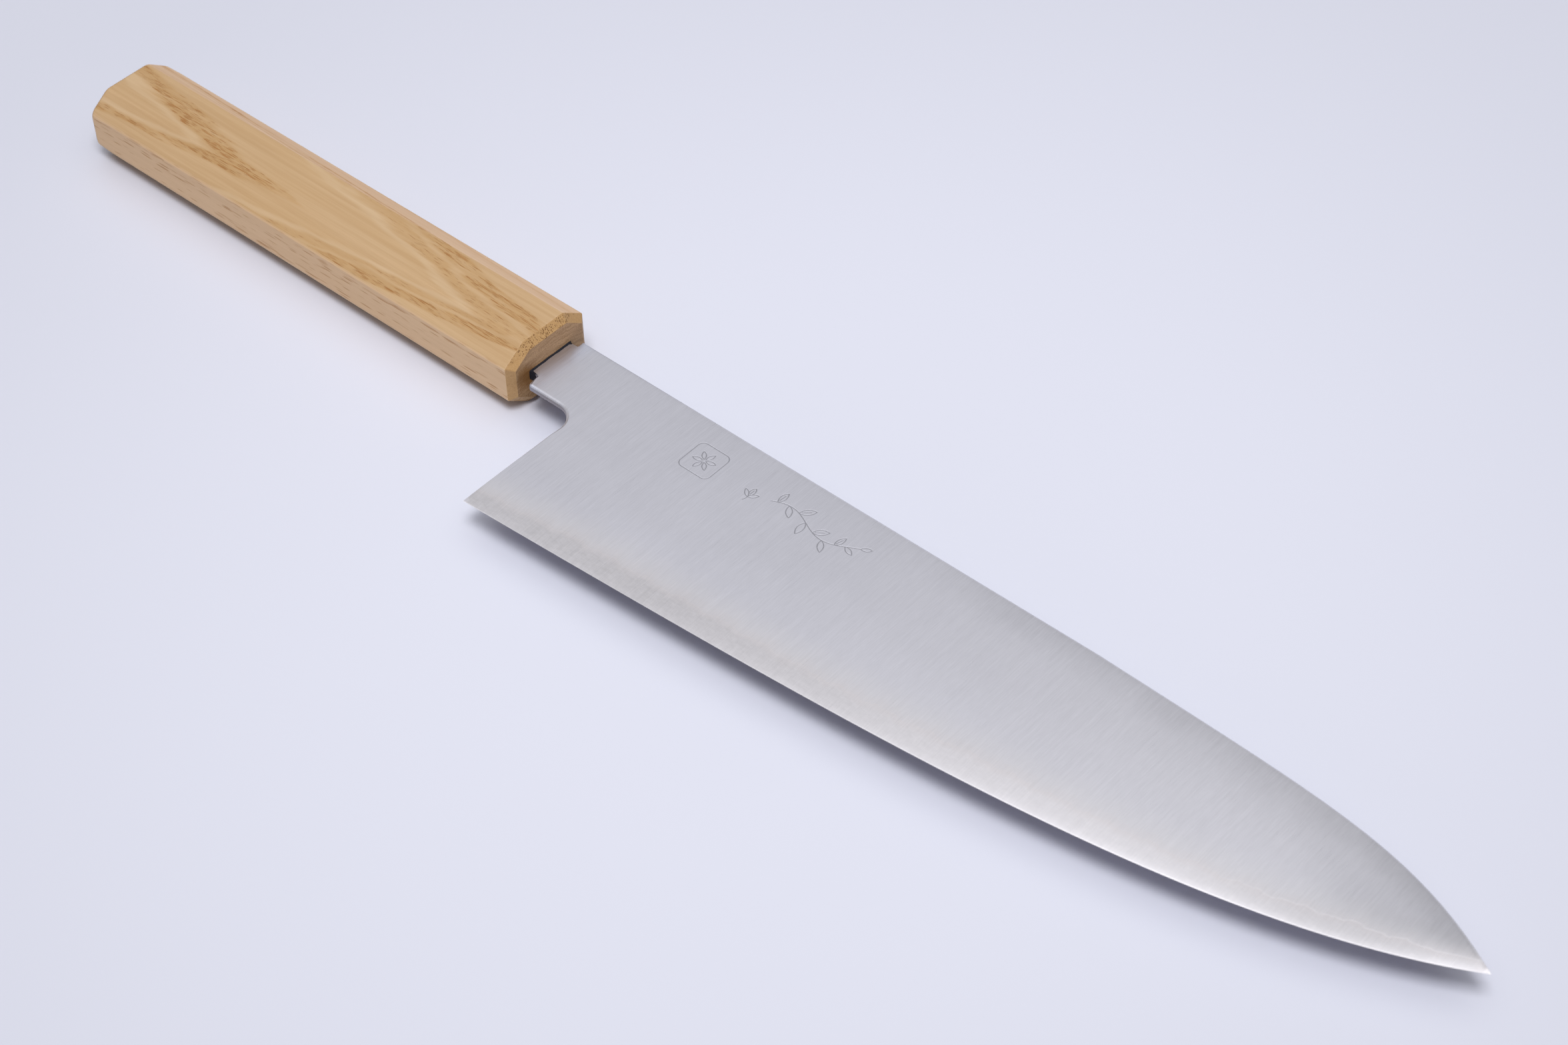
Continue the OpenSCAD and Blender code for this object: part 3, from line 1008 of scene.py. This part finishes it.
# ---------------------------------------------------------- shader helpers
class Wire:
    """An output in a node tree; arithmetic on it makes math nodes."""

    def __init__(self, graph, socket):
        self.graph, self.socket = graph, socket

    def __add__(self, other):
        return self.graph.math("ADD", self, other)

    def __radd__(self, other):
        return self.graph.math("ADD", other, self)

    def __sub__(self, other):
        return self.graph.math("SUBTRACT", self, other)

    def __rsub__(self, other):
        return self.graph.math("SUBTRACT", other, self)

    def __mul__(self, other):
        return self.graph.math("MULTIPLY", self, other)

    def __pow__(self, other):
        return self.graph.math("POWER", self, other)

    def __abs__(self):
        return self.graph.math("ABSOLUTE", self)

    def max(self, other):
        return self.graph.math("MAXIMUM", self, other)

    def clamp(self, lo, hi):
        return self.graph.math("MINIMUM", self.max(lo), hi)

    def swing(self, amount):
        """A 0 to 1 value moved to swing about zero, times amount."""
        return (self - 0.5) * amount

    def step(self, start, end, out=(0.0, 1.0)):
        """Smooth step from out[0] to out[1] as this goes from start to end."""
        if start > end:
            start, end, out = end, start, out[::-1]
        return self.graph.value(
            "MapRange", "Result",
            {"Value": self, "From Min": start, "From Max": end,
             "To Min": out[0], "To Max": out[1]},
            interpolation_type="SMOOTHSTEP")


def strongest(masks):
    return functools.reduce(Wire.max, masks)


class Graph:
    """Makes nodes in a tree. Inputs are wires, numbers or RGB tuples."""

    def __init__(self, tree):
        self.tree = tree
        tree.nodes.clear()

    def put(self, socket, value):
        if isinstance(value, Wire):
            self.tree.links.new(value.socket, socket)
        elif isinstance(value, tuple):
            socket.default_value = (*value, 1.0)
        else:
            socket.default_value = value

    def node(self, kind, inputs=None, **settings):
        node = self.tree.nodes.new("ShaderNode" + kind)
        for key, setting in settings.items():
            setattr(node, key, setting)
        for key, value in (inputs or {}).items():
            self.put(node.inputs[key], value)
        return node

    def value(self, kind, output, inputs=None, **settings):
        return Wire(self, self.node(kind, inputs, **settings).outputs[output])

    def math(self, operation, *values):
        return self.value("Math", 0, dict(enumerate(values)),
                          operation=operation)

    def xyz(self, vector):
        node = self.node("SeparateXYZ", {0: vector})
        return [Wire(self, output) for output in node.outputs]

    def vec(self, *parts):
        return self.value("CombineXYZ", 0, dict(enumerate(parts)))

    def stretch(self, parts, rates):
        """Vector of parts times rates; a rate of None leaves its part."""
        return self.vec(*(part if rate is None else part * rate
                          for part, rate in zip(parts, rates)))

    def scale(self, vector, factor):
        return self.value("VectorMath", 0, {0: vector, "Scale": factor},
                          operation="SCALE")

    def place(self):
        """Object coordinates in millimetres."""
        return self.scale(self.value("TexCoord", "Object"), 1000.0)

    def normal(self):
        return self.value("NewGeometry", "True Normal")

    def noise(self, vector, detail=2.0, rough=0.5, scale=1.0):
        return self.value("TexNoise", "Fac",
                          {"Vector": vector, "Scale": scale, "Detail": detail,
                           "Roughness": rough}, noise_dimensions="3D")

    def streaks(self, parts, rates, detail=2.0, rough=0.5):
        return self.noise(self.stretch(parts, rates), detail, rough)

    def cells(self, vector, scale=1.0):
        """Distance and colour of the nearest cell."""
        node = self.node("TexVoronoi", {"Vector": vector, "Scale": scale})
        return (Wire(self, node.outputs["Distance"]),
                Wire(self, node.outputs["Color"]))

    def mix(self, factor, a, b, mode="MIX"):
        return self.value("Mix", 2, {0: factor, 6: a, 7: b},
                          data_type="RGBA", blend_type=mode, clamp_factor=True)

    def paint(self, base, colour, where, amount):
        return self.mix(where * amount, base, colour)

    def tint(self, base, colour):
        return self.mix(1.0, base, colour, "MULTIPLY")

    def attr(self, name):
        return self.value("Attribute", "Fac", attribute_name=name)

    def bump(self, height, distance, strength):
        return self.value("Bump", "Normal",
                          {"Strength": strength, "Distance": distance,
                           "Height": height})


class Material(Graph):
    def __init__(self, name):
        self.data = bpy.data.materials.new(name)
        self.data.use_nodes = True
        super().__init__(self.data.node_tree)
        self.bsdf = self.node("BsdfPrincipled")
        self.node("OutputMaterial", {0: Wire(self, self.bsdf.outputs[0])})

    def finish(self, **inputs):
        for key, value in inputs.items():
            self.put(self.bsdf.inputs[key.replace("_", " ")], value)
        return self.data


# ------------------------------------------------------------ wood
# Bands of early wood: where each starts, is full, starts to fade and is
# gone, and its strength. Then whether a pale band runs before it.
EARLY_WOOD = ((-201, -195, -182, -168, 0.8, False),
              (-104, -97, -82, -74, 1.0, True),
              (-8, -3, 5, 9, 0.66, True),
              (11, 17, 30, 37, 1.0, False),
              (118, 128, 142, 155, 0.55, False),
              (215, 222, 238, 250, 0.6, False))
# rate along x, rate across, crowding, faintest and strongest shade
VESSELS = ((0.20, 3.7, 0.54, (0.35, 1.0)), (0.30, 5.6, 0.52, (0.25, 0.9)))
# rows of holes in the end grain: centre, half width, strength
END_ROWS = ((8.3, 1.0, 1.0), (4.7, 0.45, 0.5), (2.3, 0.35, 0.55),
            (-1.6, 0.7, 0.75), (-4.3, 0.9, 0.85), (-8.0, 1.0, 0.9))


def growth_bands(mat, x, y, z, facet_y):
    """Early wood and the pale bands before it. The layers meet the flat
    faces in long nested points, whose crests lie on the border of the wide
    facet."""
    warp = mat.streaks((x, y, z), (0.030, 0.20, 0.20))
    fine_warp = mat.streaks((x, y, z), (0.11, 0.9, 0.9))
    above = mat.math("SMOOTH_MAX", facet_y, 0.0, 1.2)
    below = mat.math("SMOOTH_MAX", facet_y * -1.0, 0.0, 1.2)
    beyond = (y - (HALF_W - FACET_W)).max(0.0)
    layer = x + above * 5.3 + (below * 14.6 + beyond * 19.0)
    layer = layer + warp.swing(40.0) + fine_warp.swing(13.0)
    layer = layer - (z * -1.0).max(0.0) * 4.0
    early, pale = [], []
    for start, full, fading, gone, amount, has_pale in EARLY_WOOD:
        early.append(layer.step(start, full) * layer.step(gone, fading) * amount)
        if has_pale:
            pale.append(layer.step(start - 14, start - 6)
                        * layer.step(start + 2, start - 4))
    return strongest(early), strongest(pale)


def end_grain(mat, x, y, z, end):
    """Cut vessels as small round holes, and the rings they follow."""
    large, _ = mat.cells(mat.stretch((x, y, z), (0.05, 2.5, 2.5)))
    small, _ = mat.cells(mat.stretch((x, y, z), (0.05, 3.6, 3.6)))
    ring = z + (y - 1.0) ** 2.0 * 0.012
    ring = ring + mat.streaks((0.0, y, z), (None, 0.35, 0.35)).swing(1.6)
    rows = strongest([abs(ring - centre).step(half + 0.35, half - 0.1) * amount
                      for centre, half, amount in END_ROWS])
    gaps = mat.streaks((3.0, y, z), (None, 0.30, 0.2))
    rows = rows * gaps.step(0.36, 0.52, out=(0.62, 1.0)) * end
    hole = (rows * 0.44 - large).step(0.0, 0.12).max(
        (rows * 0.34 - small).step(0.0, 0.10) * 0.6)
    return ring, hole


def wood_material():
    mat = Material("pale ring porous wood")
    x, y, z = mat.xyz(mat.place())
    normal = mat.normal()
    nx, ny, _ = mat.xyz(normal)
    nx = abs(nx)
    end = nx.step(0.30, 0.60)                           # facing along x
    side = abs(ny).step(0.70, 0.97) * (1.0 - end)       # facing along y
    flat = 1.0 - end.max(side)
    facet_y = y + (HALF_W - FACET_W)    # from the wide facet's -y border
    early, pale = growth_bands(mat, x, y, z, facet_y)
    patch = mat.streaks((x, y, z), (0.055, 0.75, 0.75), detail=3.0, rough=0.6)
    dense = early * patch.step(0.30, 0.58, out=(0.30, 1.0)) * flat
    streak = mat.streaks((x, y, z), (0.014, 0.75, 0.75), detail=4.0, rough=0.55)
    fibre = mat.streaks((x, y, z), (0.10, 5.5, 5.5), detail=4.0, rough=0.62)
    broad = mat.streaks((x, y, z), (0.02, 0.16, 0.16), detail=3.0)
    # vessels: long and thin, crowded in the early wood; near the front
    # they lean a little across the wide facet
    lean = (x + 25.0).clamp(-35.0, 30.0) * 0.05 * facet_y.step(0.0, 5.5)
    bend = mat.streaks((x, y, 3.0), (0.06, 0.5, None)).swing(0.7)
    across = (y + lean + bend, z + bend * 0.6)
    pores = []
    for rate_x, rate, crowding, shades in VESSELS:
        distance, tone = mat.cells(mat.stretch((x, *across),
                                               (rate_x, rate, rate)))
        pores.append((dense * crowding - distance).step(0.0, 0.20)
                     * mat.xyz(tone)[0].step(0.1, 0.9, out=shades))
    pore = strongest(pores)
    # the quarter-cut sides: sparse short dashes in rows
    row = mat.streaks((x, y, z), (0.012, 0.1, 0.62))
    distance, tone = mat.cells(mat.stretch((x, y, z + bend * 1.2),
                                           (0.17, 0.5, 1.75)))
    dash = (distance + (0.52 - row) * 1.3).step(0.40, 0.20) \
        * mat.xyz(tone)[0].step(0.1, 0.9, out=(0.45, 1.0)) * side
    ring, hole = end_grain(mat, x, y, z, end)

    base = mat.mix(streak.step(0.28, 0.72), (0.600, 0.392, 0.208),
                   (0.695, 0.482, 0.282))
    for where, amount, colour in (
            (broad.step(0.35, 0.65), 0.40, (0.640, 0.418, 0.215)),
            (fibre.step(0.45, 0.72), 0.26, (0.530, 0.325, 0.150)),
            (pale * flat, 0.35, (0.78, 0.59, 0.39)),
            (dense, 0.62, (0.545, 0.315, 0.118)),
            (pore, 0.80, (0.405, 0.172, 0.046))):
        base = mat.paint(base, colour, where, amount)
    # painted light: the sides facing along y are made paler and a little pink, to
    # lift their shade
    base = mat.paint(base, mat.mix(0.55, base, (0.735, 0.555, 0.405)),
                     where=side, amount=0.85)
    # painted light: the facets facing +y, on the spine side, are lightened and made
    # bluer
    painted_light_spine_facets = mat.xyz(normal)[1].step(0.15, 0.50) * (1.0 - side)
    base = mat.paint(base, mat.tint(base, (1.35, 1.37, 1.58)),
                     where=painted_light_spine_facets, amount=0.90)
    base = mat.paint(base, (0.43, 0.225, 0.100), where=dash, amount=0.74)
    # the end grain is darker, on the end faces and on the bevel
    face = nx.step(0.75, 0.98)
    grit = mat.streaks((x, y, z), (0.3, 3.2, 3.2), detail=4.0, rough=0.7)
    base = mat.mix(end * (1.0 - face), base, (0.570, 0.345, 0.150))
    layers = mat.streaks((0.0, y, ring), (None, 0.12, 1.5), detail=3.0, rough=0.6)
    ground = mat.mix(layers.step(0.38, 0.62), (0.540, 0.335, 0.172),
                     (0.385, 0.222, 0.103))
    base = mat.mix(face, base, ground)
    base = mat.paint(base, (0.235, 0.125, 0.045), where=grit.step(0.40, 0.70),
                     amount=face * 0.26 + end * 0.20)
    base = mat.paint(base, (0.640, 0.450, 0.255), where=grit.step(0.52, 0.36),
                     amount=face * 0.12 + end * 0.18)
    base = mat.paint(base, (0.190, 0.085, 0.025), where=hole, amount=0.80)
    # burnt round the lower corner of the slot
    dy = y + 7.2
    dz = z - 0.2
    distance = mat.math("SQRT", dy * dy + dz * dz * 0.8)
    warp = mat.streaks((x, y, z), (None, 0.9, 0.9), detail=3.0, rough=0.6)
    burn = (distance + warp.swing(3.5)).step(4.6, 1.0)
    base = mat.paint(base, (0.230, 0.095, 0.014),
                     where=burn * x.step(-2.5, -0.6), amount=0.75)
    # painted shade: the slot's walls inside the mouth are near black
    slot_painted_shade = x.step(-0.25, -0.9) * x.step(-112.0, -104.0) \
        * abs(y).step(7.2, 6.9) * abs(z).step(2.05, 1.95)
    base = mat.paint(base, (0.07, 0.035, 0.015), where=slot_painted_shade, amount=0.85)
    # painted light: the sides facing along y are tinted lighter than the other
    # faces
    base = mat.tint(base, mat.mix(side, (0.845, 0.835, 0.820),
                                  (1.045, 1.005, 0.915)))
    dark = strongest([pore, hole, dash * 0.6])
    return mat.finish(
        Base_Color=base,
        Roughness=0.42 + dark * 0.25 + fibre * 0.12,
        Normal=mat.bump(fibre * 0.25 - dark, distance=0.00005, strength=0.8),
        Specular_IOR_Level=0.35)


# ------------------------------------------------------------ steel
def steel_material(core):
    mat = Material("core steel satin" if core else "outer layer steel satin")
    x, y, z = mat.xyz(mat.place())
    edge_d, line_d, spine_d = (mat.attr(name)
                               for name in ("edge_d", "line_d", "spine_d"))
    # lines left by the grinding, straight across the blade
    ground_x = x + mat.streaks((x, y, 0.0), (0.03, 0.02, None)).swing(0.6)
    lines = mat.streaks((ground_x, y, z), (4.6, 0.085, 0.3),
                        detail=4.0, rough=0.7)
    bands = mat.streaks((ground_x, y, 4.0), (0.9, 0.016, None),
                        detail=4.0, rough=0.62)
    hairs = mat.streaks((ground_x, y, 9.0), (9.0, 0.34, None),
                        detail=3.0, rough=0.65)
    soft = mat.streaks((x, y, 2.0), (0.03, 0.06, None), detail=3.0)
    along = x.step(60, 200)
    cool = mat.mix(along, (0.658, 0.656, 0.728), (0.722, 0.716, 0.782))
    warm = mat.mix(along, (0.690, 0.678, 0.721), (0.750, 0.739, 0.786))
    tone = mat.mix(line_d.step(9.0, -1.0), cool, warm)
    if core:
        tone = mat.mix(0.35, tone, (0.750, 0.717, 0.748))
    # a soft, slightly warm belt where the layers meet
    haze = mat.streaks((x, y, 1.0), (0.16, 0.5, None), detail=3.0, rough=0.6)
    belt = abs(line_d - 0.2 + haze.swing(3.0)).step(2.6, 0.3)
    tone = mat.paint(tone, mat.tint(tone, (0.992, 0.962, 0.945)),
                     where=belt, amount=0.34)
    # changes of brightness, as shares of the tone
    light = lines.swing(0.26) + bands.swing(0.08)
    light = light + hairs.swing(0.24)
    light = light + soft.swing(0.12)
    # below the line: mottled, darker near the heel, brighter midway
    mottle = mat.streaks((x, y, 6.0), (0.55, 1.1, None), detail=4.0, rough=0.7)
    low = line_d.step(1.0, -2.0)
    light += (mottle - 0.53) * low * x.step(60, 200, out=(0.26, 0.14))
    light -= low * x.step(60, 150, out=(0.12, 0.0))
    light += low * x.step(115, 160) * x.step(220, 190, out=(0.0, 0.055))
    # the spine side of the front half is darker, in soft clouds
    cloud = mat.streaks((x, y, 5.0), (0.07, 0.09, None), detail=3.0)
    near_spine = (spine_d + cloud.swing(8.0)).step(9.0, 0.5)
    light -= near_spine * x.step(90, 150) * 0.12
    # darker above the line near the point, brighter mid-face before it
    light -= x.step(212, 246) * line_d.step(-1.0, 5.0) * 0.15
    light += x.step(150, 185) * x.step(225, 205) * spine_d.step(6, 14) * 0.05
    # painted highlight: brighter along the front part of the edge
    light += edge_d.step(3.0, 0.3) * x.step(120, 200) * 0.05
    # the broken corner of the spine catches a little light
    light += spine_d.step(0.60, 0.20) * x.step(15, 50) * 0.22
    # painted light: near the shoulders the steel is made lighter and bluer
    tone = mat.mix(x.step(8.0, 1.0), tone, mat.tint(tone, (1.04, 1.10, 1.20)))
    # painted highlight: lighter below the line near the point
    light += x.step(232, 252) * line_d.step(3.0, -1.0, out=(0.0, 0.13))
    # walls facing sideways are darkened with painted shade; they and the turn into
    # them near the handle are rougher
    normal = mat.normal()
    wall = abs(mat.xyz(normal)[2]).step(0.80, 0.30)
    tone = mat.mix(wall, tone, mat.tint(tone, (0.57, 0.535, 0.50)))
    turn = abs(mat.xyz(normal)[2]).step(0.985, 0.80) * x.step(30.0, 16.0)
    colour = mat.scale(tone, 1.0 + light)
    rough = 0.30 + lines.swing(0.12)
    rough = rough + soft.swing(0.06)
    rough = rough + (wall * 0.12 + turn * 0.16)
    if not core:
        # painted shade: the grooves of the ornament are darkened
        cut = mat.attr("groove_d").step(0.16, 0.05)
        colour = mat.paint(colour, (0.17, 0.17, 0.19), where=cut, amount=0.54)
        rough = rough + cut * 0.22
    height = lines * 0.5 + (hairs * 0.45 + bands * 0.10)
    height = height + line_d.step(-0.22, 0.22, out=(0.0, 1.5)) \
        * x.step(185, 235, out=(0.12, 1.0))
    return mat.finish(
        Base_Color=colour, Metallic=1.0, Roughness=rough,
        Normal=mat.bump(height, distance=0.000008, strength=0.6),
        Anisotropic=0.65, Tangent=mat.vec(1.0, 0.0, 0.0))


# ------------------------------------------------------------ resins
def seal_material():
    mat = Material("black resin")
    place = mat.place()
    lump = mat.noise(place, scale=1.6, detail=3.0, rough=0.6)
    tiny = mat.noise(place, scale=7.0, detail=3.0, rough=0.6)
    base = mat.mix(lump, (0.003, 0.004, 0.009), (0.012, 0.014, 0.024))
    base = mat.mix(tiny.step(0.66, 0.78), base, (0.09, 0.065, 0.04))
    return mat.finish(
        Base_Color=base, Roughness=0.30 + tiny * 0.35,
        Normal=mat.bump(lump + tiny * 0.4, distance=0.00018, strength=0.9),
        Specular_IOR_Level=0.22)


def bond_material():
    mat = Material("bonding resin")
    place = mat.place()
    cloud = mat.noise(place, scale=0.35, detail=4.0, rough=0.6)
    speck, _ = mat.cells(place, scale=1.1)
    base = mat.mix(cloud, (0.16, 0.11, 0.06), (0.30, 0.22, 0.13))
    base = mat.mix(speck.step(0.25, 0.1), base, (0.42, 0.36, 0.28))
    height = cloud - speck.step(0.25, 0.1) * 0.4
    return mat.finish(Base_Color=base, Roughness=0.35 + cloud * 0.3,
                      Normal=mat.bump(height, distance=0.0002, strength=0.7))


# ------------------------------------------------------------ floor surface
VIEW_TURN = math.radians(42.928)    # the viewer's direction in plan, from -Y


def floor_material():
    mat = Material("pale floor")
    place = mat.place()
    broad = mat.noise(place, scale=0.004, detail=3.0)
    grain = mat.noise(place, scale=0.35, detail=3.0, rough=0.6)
    base = mat.mix(broad, (0.695, 0.712, 0.825), (0.718, 0.736, 0.848))
    # evens out the lamp's fall-off, away from the viewer and all round
    x, y, _ = mat.xyz(place)
    away = (y - 10.0) * math.cos(VIEW_TURN) - (x - 75.0) * math.sin(VIEW_TURN)
    away = away.clamp(-170.0, 260.0)
    far = mat.math("SQRT", (x - 85.0) ** 2.0 + (y - 5.0) ** 2.0)
    drop = far.step(60.0, 300.0, out=(1.0, 0.885))
    return mat.finish(
        Base_Color=mat.scale(base, drop * (1.0 + away * 0.00046)),
        Roughness=0.36,
        Normal=mat.bump(grain, distance=0.00002, strength=0.4),
        Specular_IOR_Level=0.42)


# ------------------------------------------------------------ the pieces
plain = Sheet(engraved=False)
engraved = Sheet(engraved=True)
core_steel = steel_material(core=True)
clad_steel = steel_material(core=False)
piece("blade_core_steel", core_shell(plain), "blade_core",
      core_steel)
piece("cladding_right_steel", cladding_shell(engraved, 1),
      "cladding_right", clad_steel)
piece("cladding_left_steel", cladding_shell(plain, -1),
      "cladding_left", clad_steel)
handle = piece("wooden_handle", handle_shell(), "handle",
               wood_material())
piece("resin_seal", seal_shell(), "mouth_seal", seal_material())

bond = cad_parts["tang_bond"]
bond.data.materials.clear()
bond.data.materials.append(bond_material())

# ------------------------------------------------------------ the camera
VIEW_RISE, VIEW_ROLL = math.radians(45.320), math.radians(-1.871)
VIEW_DISTANCE = 707.167
VIEW_TARGET = Vector((74.534, -4.441, 0.0))


def add_camera():
    back = Vector((math.sin(VIEW_TURN) * math.cos(VIEW_RISE),
                   -math.cos(VIEW_TURN) * math.cos(VIEW_RISE),
                   math.sin(VIEW_RISE)))
    right = Vector((0, 0, 1)).cross(back).normalized()
    up = back.cross(right)
    cos, sin = math.cos(VIEW_ROLL), math.sin(VIEW_ROLL)
    pose = Matrix((right * cos + up * sin, up * cos - right * sin,
                   back)).transposed().to_4x4()
    pose.translation = HOME + (VIEW_TARGET + back * VIEW_DISTANCE) * MM
    data = bpy.data.cameras.new("camera")
    data.sensor_width = 36.0
    data.lens = 75.714
    data.clip_start = 0.01
    data.clip_end = 50.0
    camera = bpy.data.objects.new("camera", data)
    bpy.context.scene.collection.objects.link(camera)
    camera.matrix_world = pose
    bpy.context.scene.camera = camera
    data.dof.use_dof = True
    data.dof.focus_object = handle      # its origin is at the blade's root
    data.dof.aperture_fstop = 30.0


# -------------------------------------------------------- floor and light
FLOOR_HALF, FLOOR_CELLS = 4000.0, 24
FLOOR_GAP = 0.02        # the floor lies this far below the handle


def add_floor():
    n = FLOOR_CELLS
    ticks = [(-FLOOR_HALF + 2 * FLOOR_HALF * i / n) * MM for i in range(n + 1)]
    verts = [(x, y, (-HALF_T - FLOOR_GAP) * MM) for y in ticks for x in ticks]
    corners = [j * (n + 1) + i for j in range(n) for i in range(n)]
    mesh = bpy.data.meshes.new("floor")
    mesh.from_pydata(verts, [], [(q, q + 1, q + n + 2, q + n + 1)
                                 for q in corners])
    mesh.update()
    floor = bpy.data.objects.new("floor", mesh)
    bpy.context.scene.collection.objects.link(floor)
    floor.location = HOME
    mesh.materials.append(floor_material())


def area_light(name, from_upright, distance, size, power, color, aim):
    """A lamp on the viewer's side, tilted by from_upright degrees; distance
    and size are in metres."""
    tilt = math.radians(from_upright)
    toward_viewer = Vector((math.sin(VIEW_TURN), -math.cos(VIEW_TURN), 0.0))
    direction = (toward_viewer * math.sin(tilt)
                 + Vector((0, 0, 1)) * math.cos(tilt)).normalized()
    light = bpy.data.lights.new(name, "AREA")
    light.shape = "RECTANGLE"
    light.size, light.size_y = size
    light.energy = power
    light.color = color
    lamp = bpy.data.objects.new(name, light)
    bpy.context.scene.collection.objects.link(lamp)
    lamp.location = HOME + Vector(aim) * MM + direction * distance
    lamp.rotation_euler = direction.to_track_quat("Z", "Y").to_euler()
    return lamp


def studio_world():
    """Even and pale where it lights things softly, a smooth gradient where
    polished steel mirrors it, and plain where the camera sees it."""
    world = bpy.data.worlds.new("studio")
    bpy.context.scene.world = world
    world.use_nodes = True
    world.cycles.sampling_method = "NONE"
    graph = Graph(world.node_tree)
    wx, wy, wz = graph.xyz(graph.value("TexCoord", "Generated"))

    def background(colour, strength):
        return graph.value("Background", 0, {0: colour, 1: strength})

    softness = 0.44     # overall strength of the soft light
    soft = background(
        graph.mix(wz.step(0.30, 0.80), (1.0, 0.83, 0.78), (0.985, 0.99, 1.0)),
        wz.step(0.50, 0.98, out=(0.15, 2.40)) * softness)
    # the mirrored glow is a quadratic in two directions, u and v
    u = (wx + 0.40).clamp(-0.22, 0.26)
    v = ((wy - 0.48) * 1.2).clamp(-0.17, 0.13)
    glow = 0.601 + u * 0.80 - v * 1.97
    glow = glow - u * u * 1.34 - u * v * 9.56 - v * v * 2.86
    glow = glow.clamp(0.34, 0.76) * (1.0 / 0.65)
    glow = glow * wy.step(0.1, -0.55, out=(1.0, 0.62))
    mirrored = background((0.995, 0.997, 1.0), glow)
    seen = background((0.66, 0.67, 0.74), 1.0)
    rays = graph.node("LightPath")
    shader = soft
    for ray, other in (("Is Glossy Ray", mirrored), ("Is Camera Ray", seen)):
        shader = graph.value("MixShader", 0, {
            0: Wire(graph, rays.outputs[ray]), 1: shader, 2: other})
    graph.node("OutputWorld", {0: shader})


add_camera()
add_floor()
area_light("key", from_upright=21.0, distance=1.4, size=(0.50, 0.50),
           power=12.6, color=(1.0, 0.994, 0.985), aim=(60, -10, 0))
fill = area_light("fill", from_upright=90.0 - 14.0, distance=1.5,
                  size=(1.3, 0.4), power=1.7, color=(1.0, 0.90, 0.87),
                  aim=(-20, -12, 0))
fill.visible_glossy = False
studio_world()

bpy.context.scene.view_settings.view_transform = "Standard"
bpy.context.scene.view_settings.look = "None"
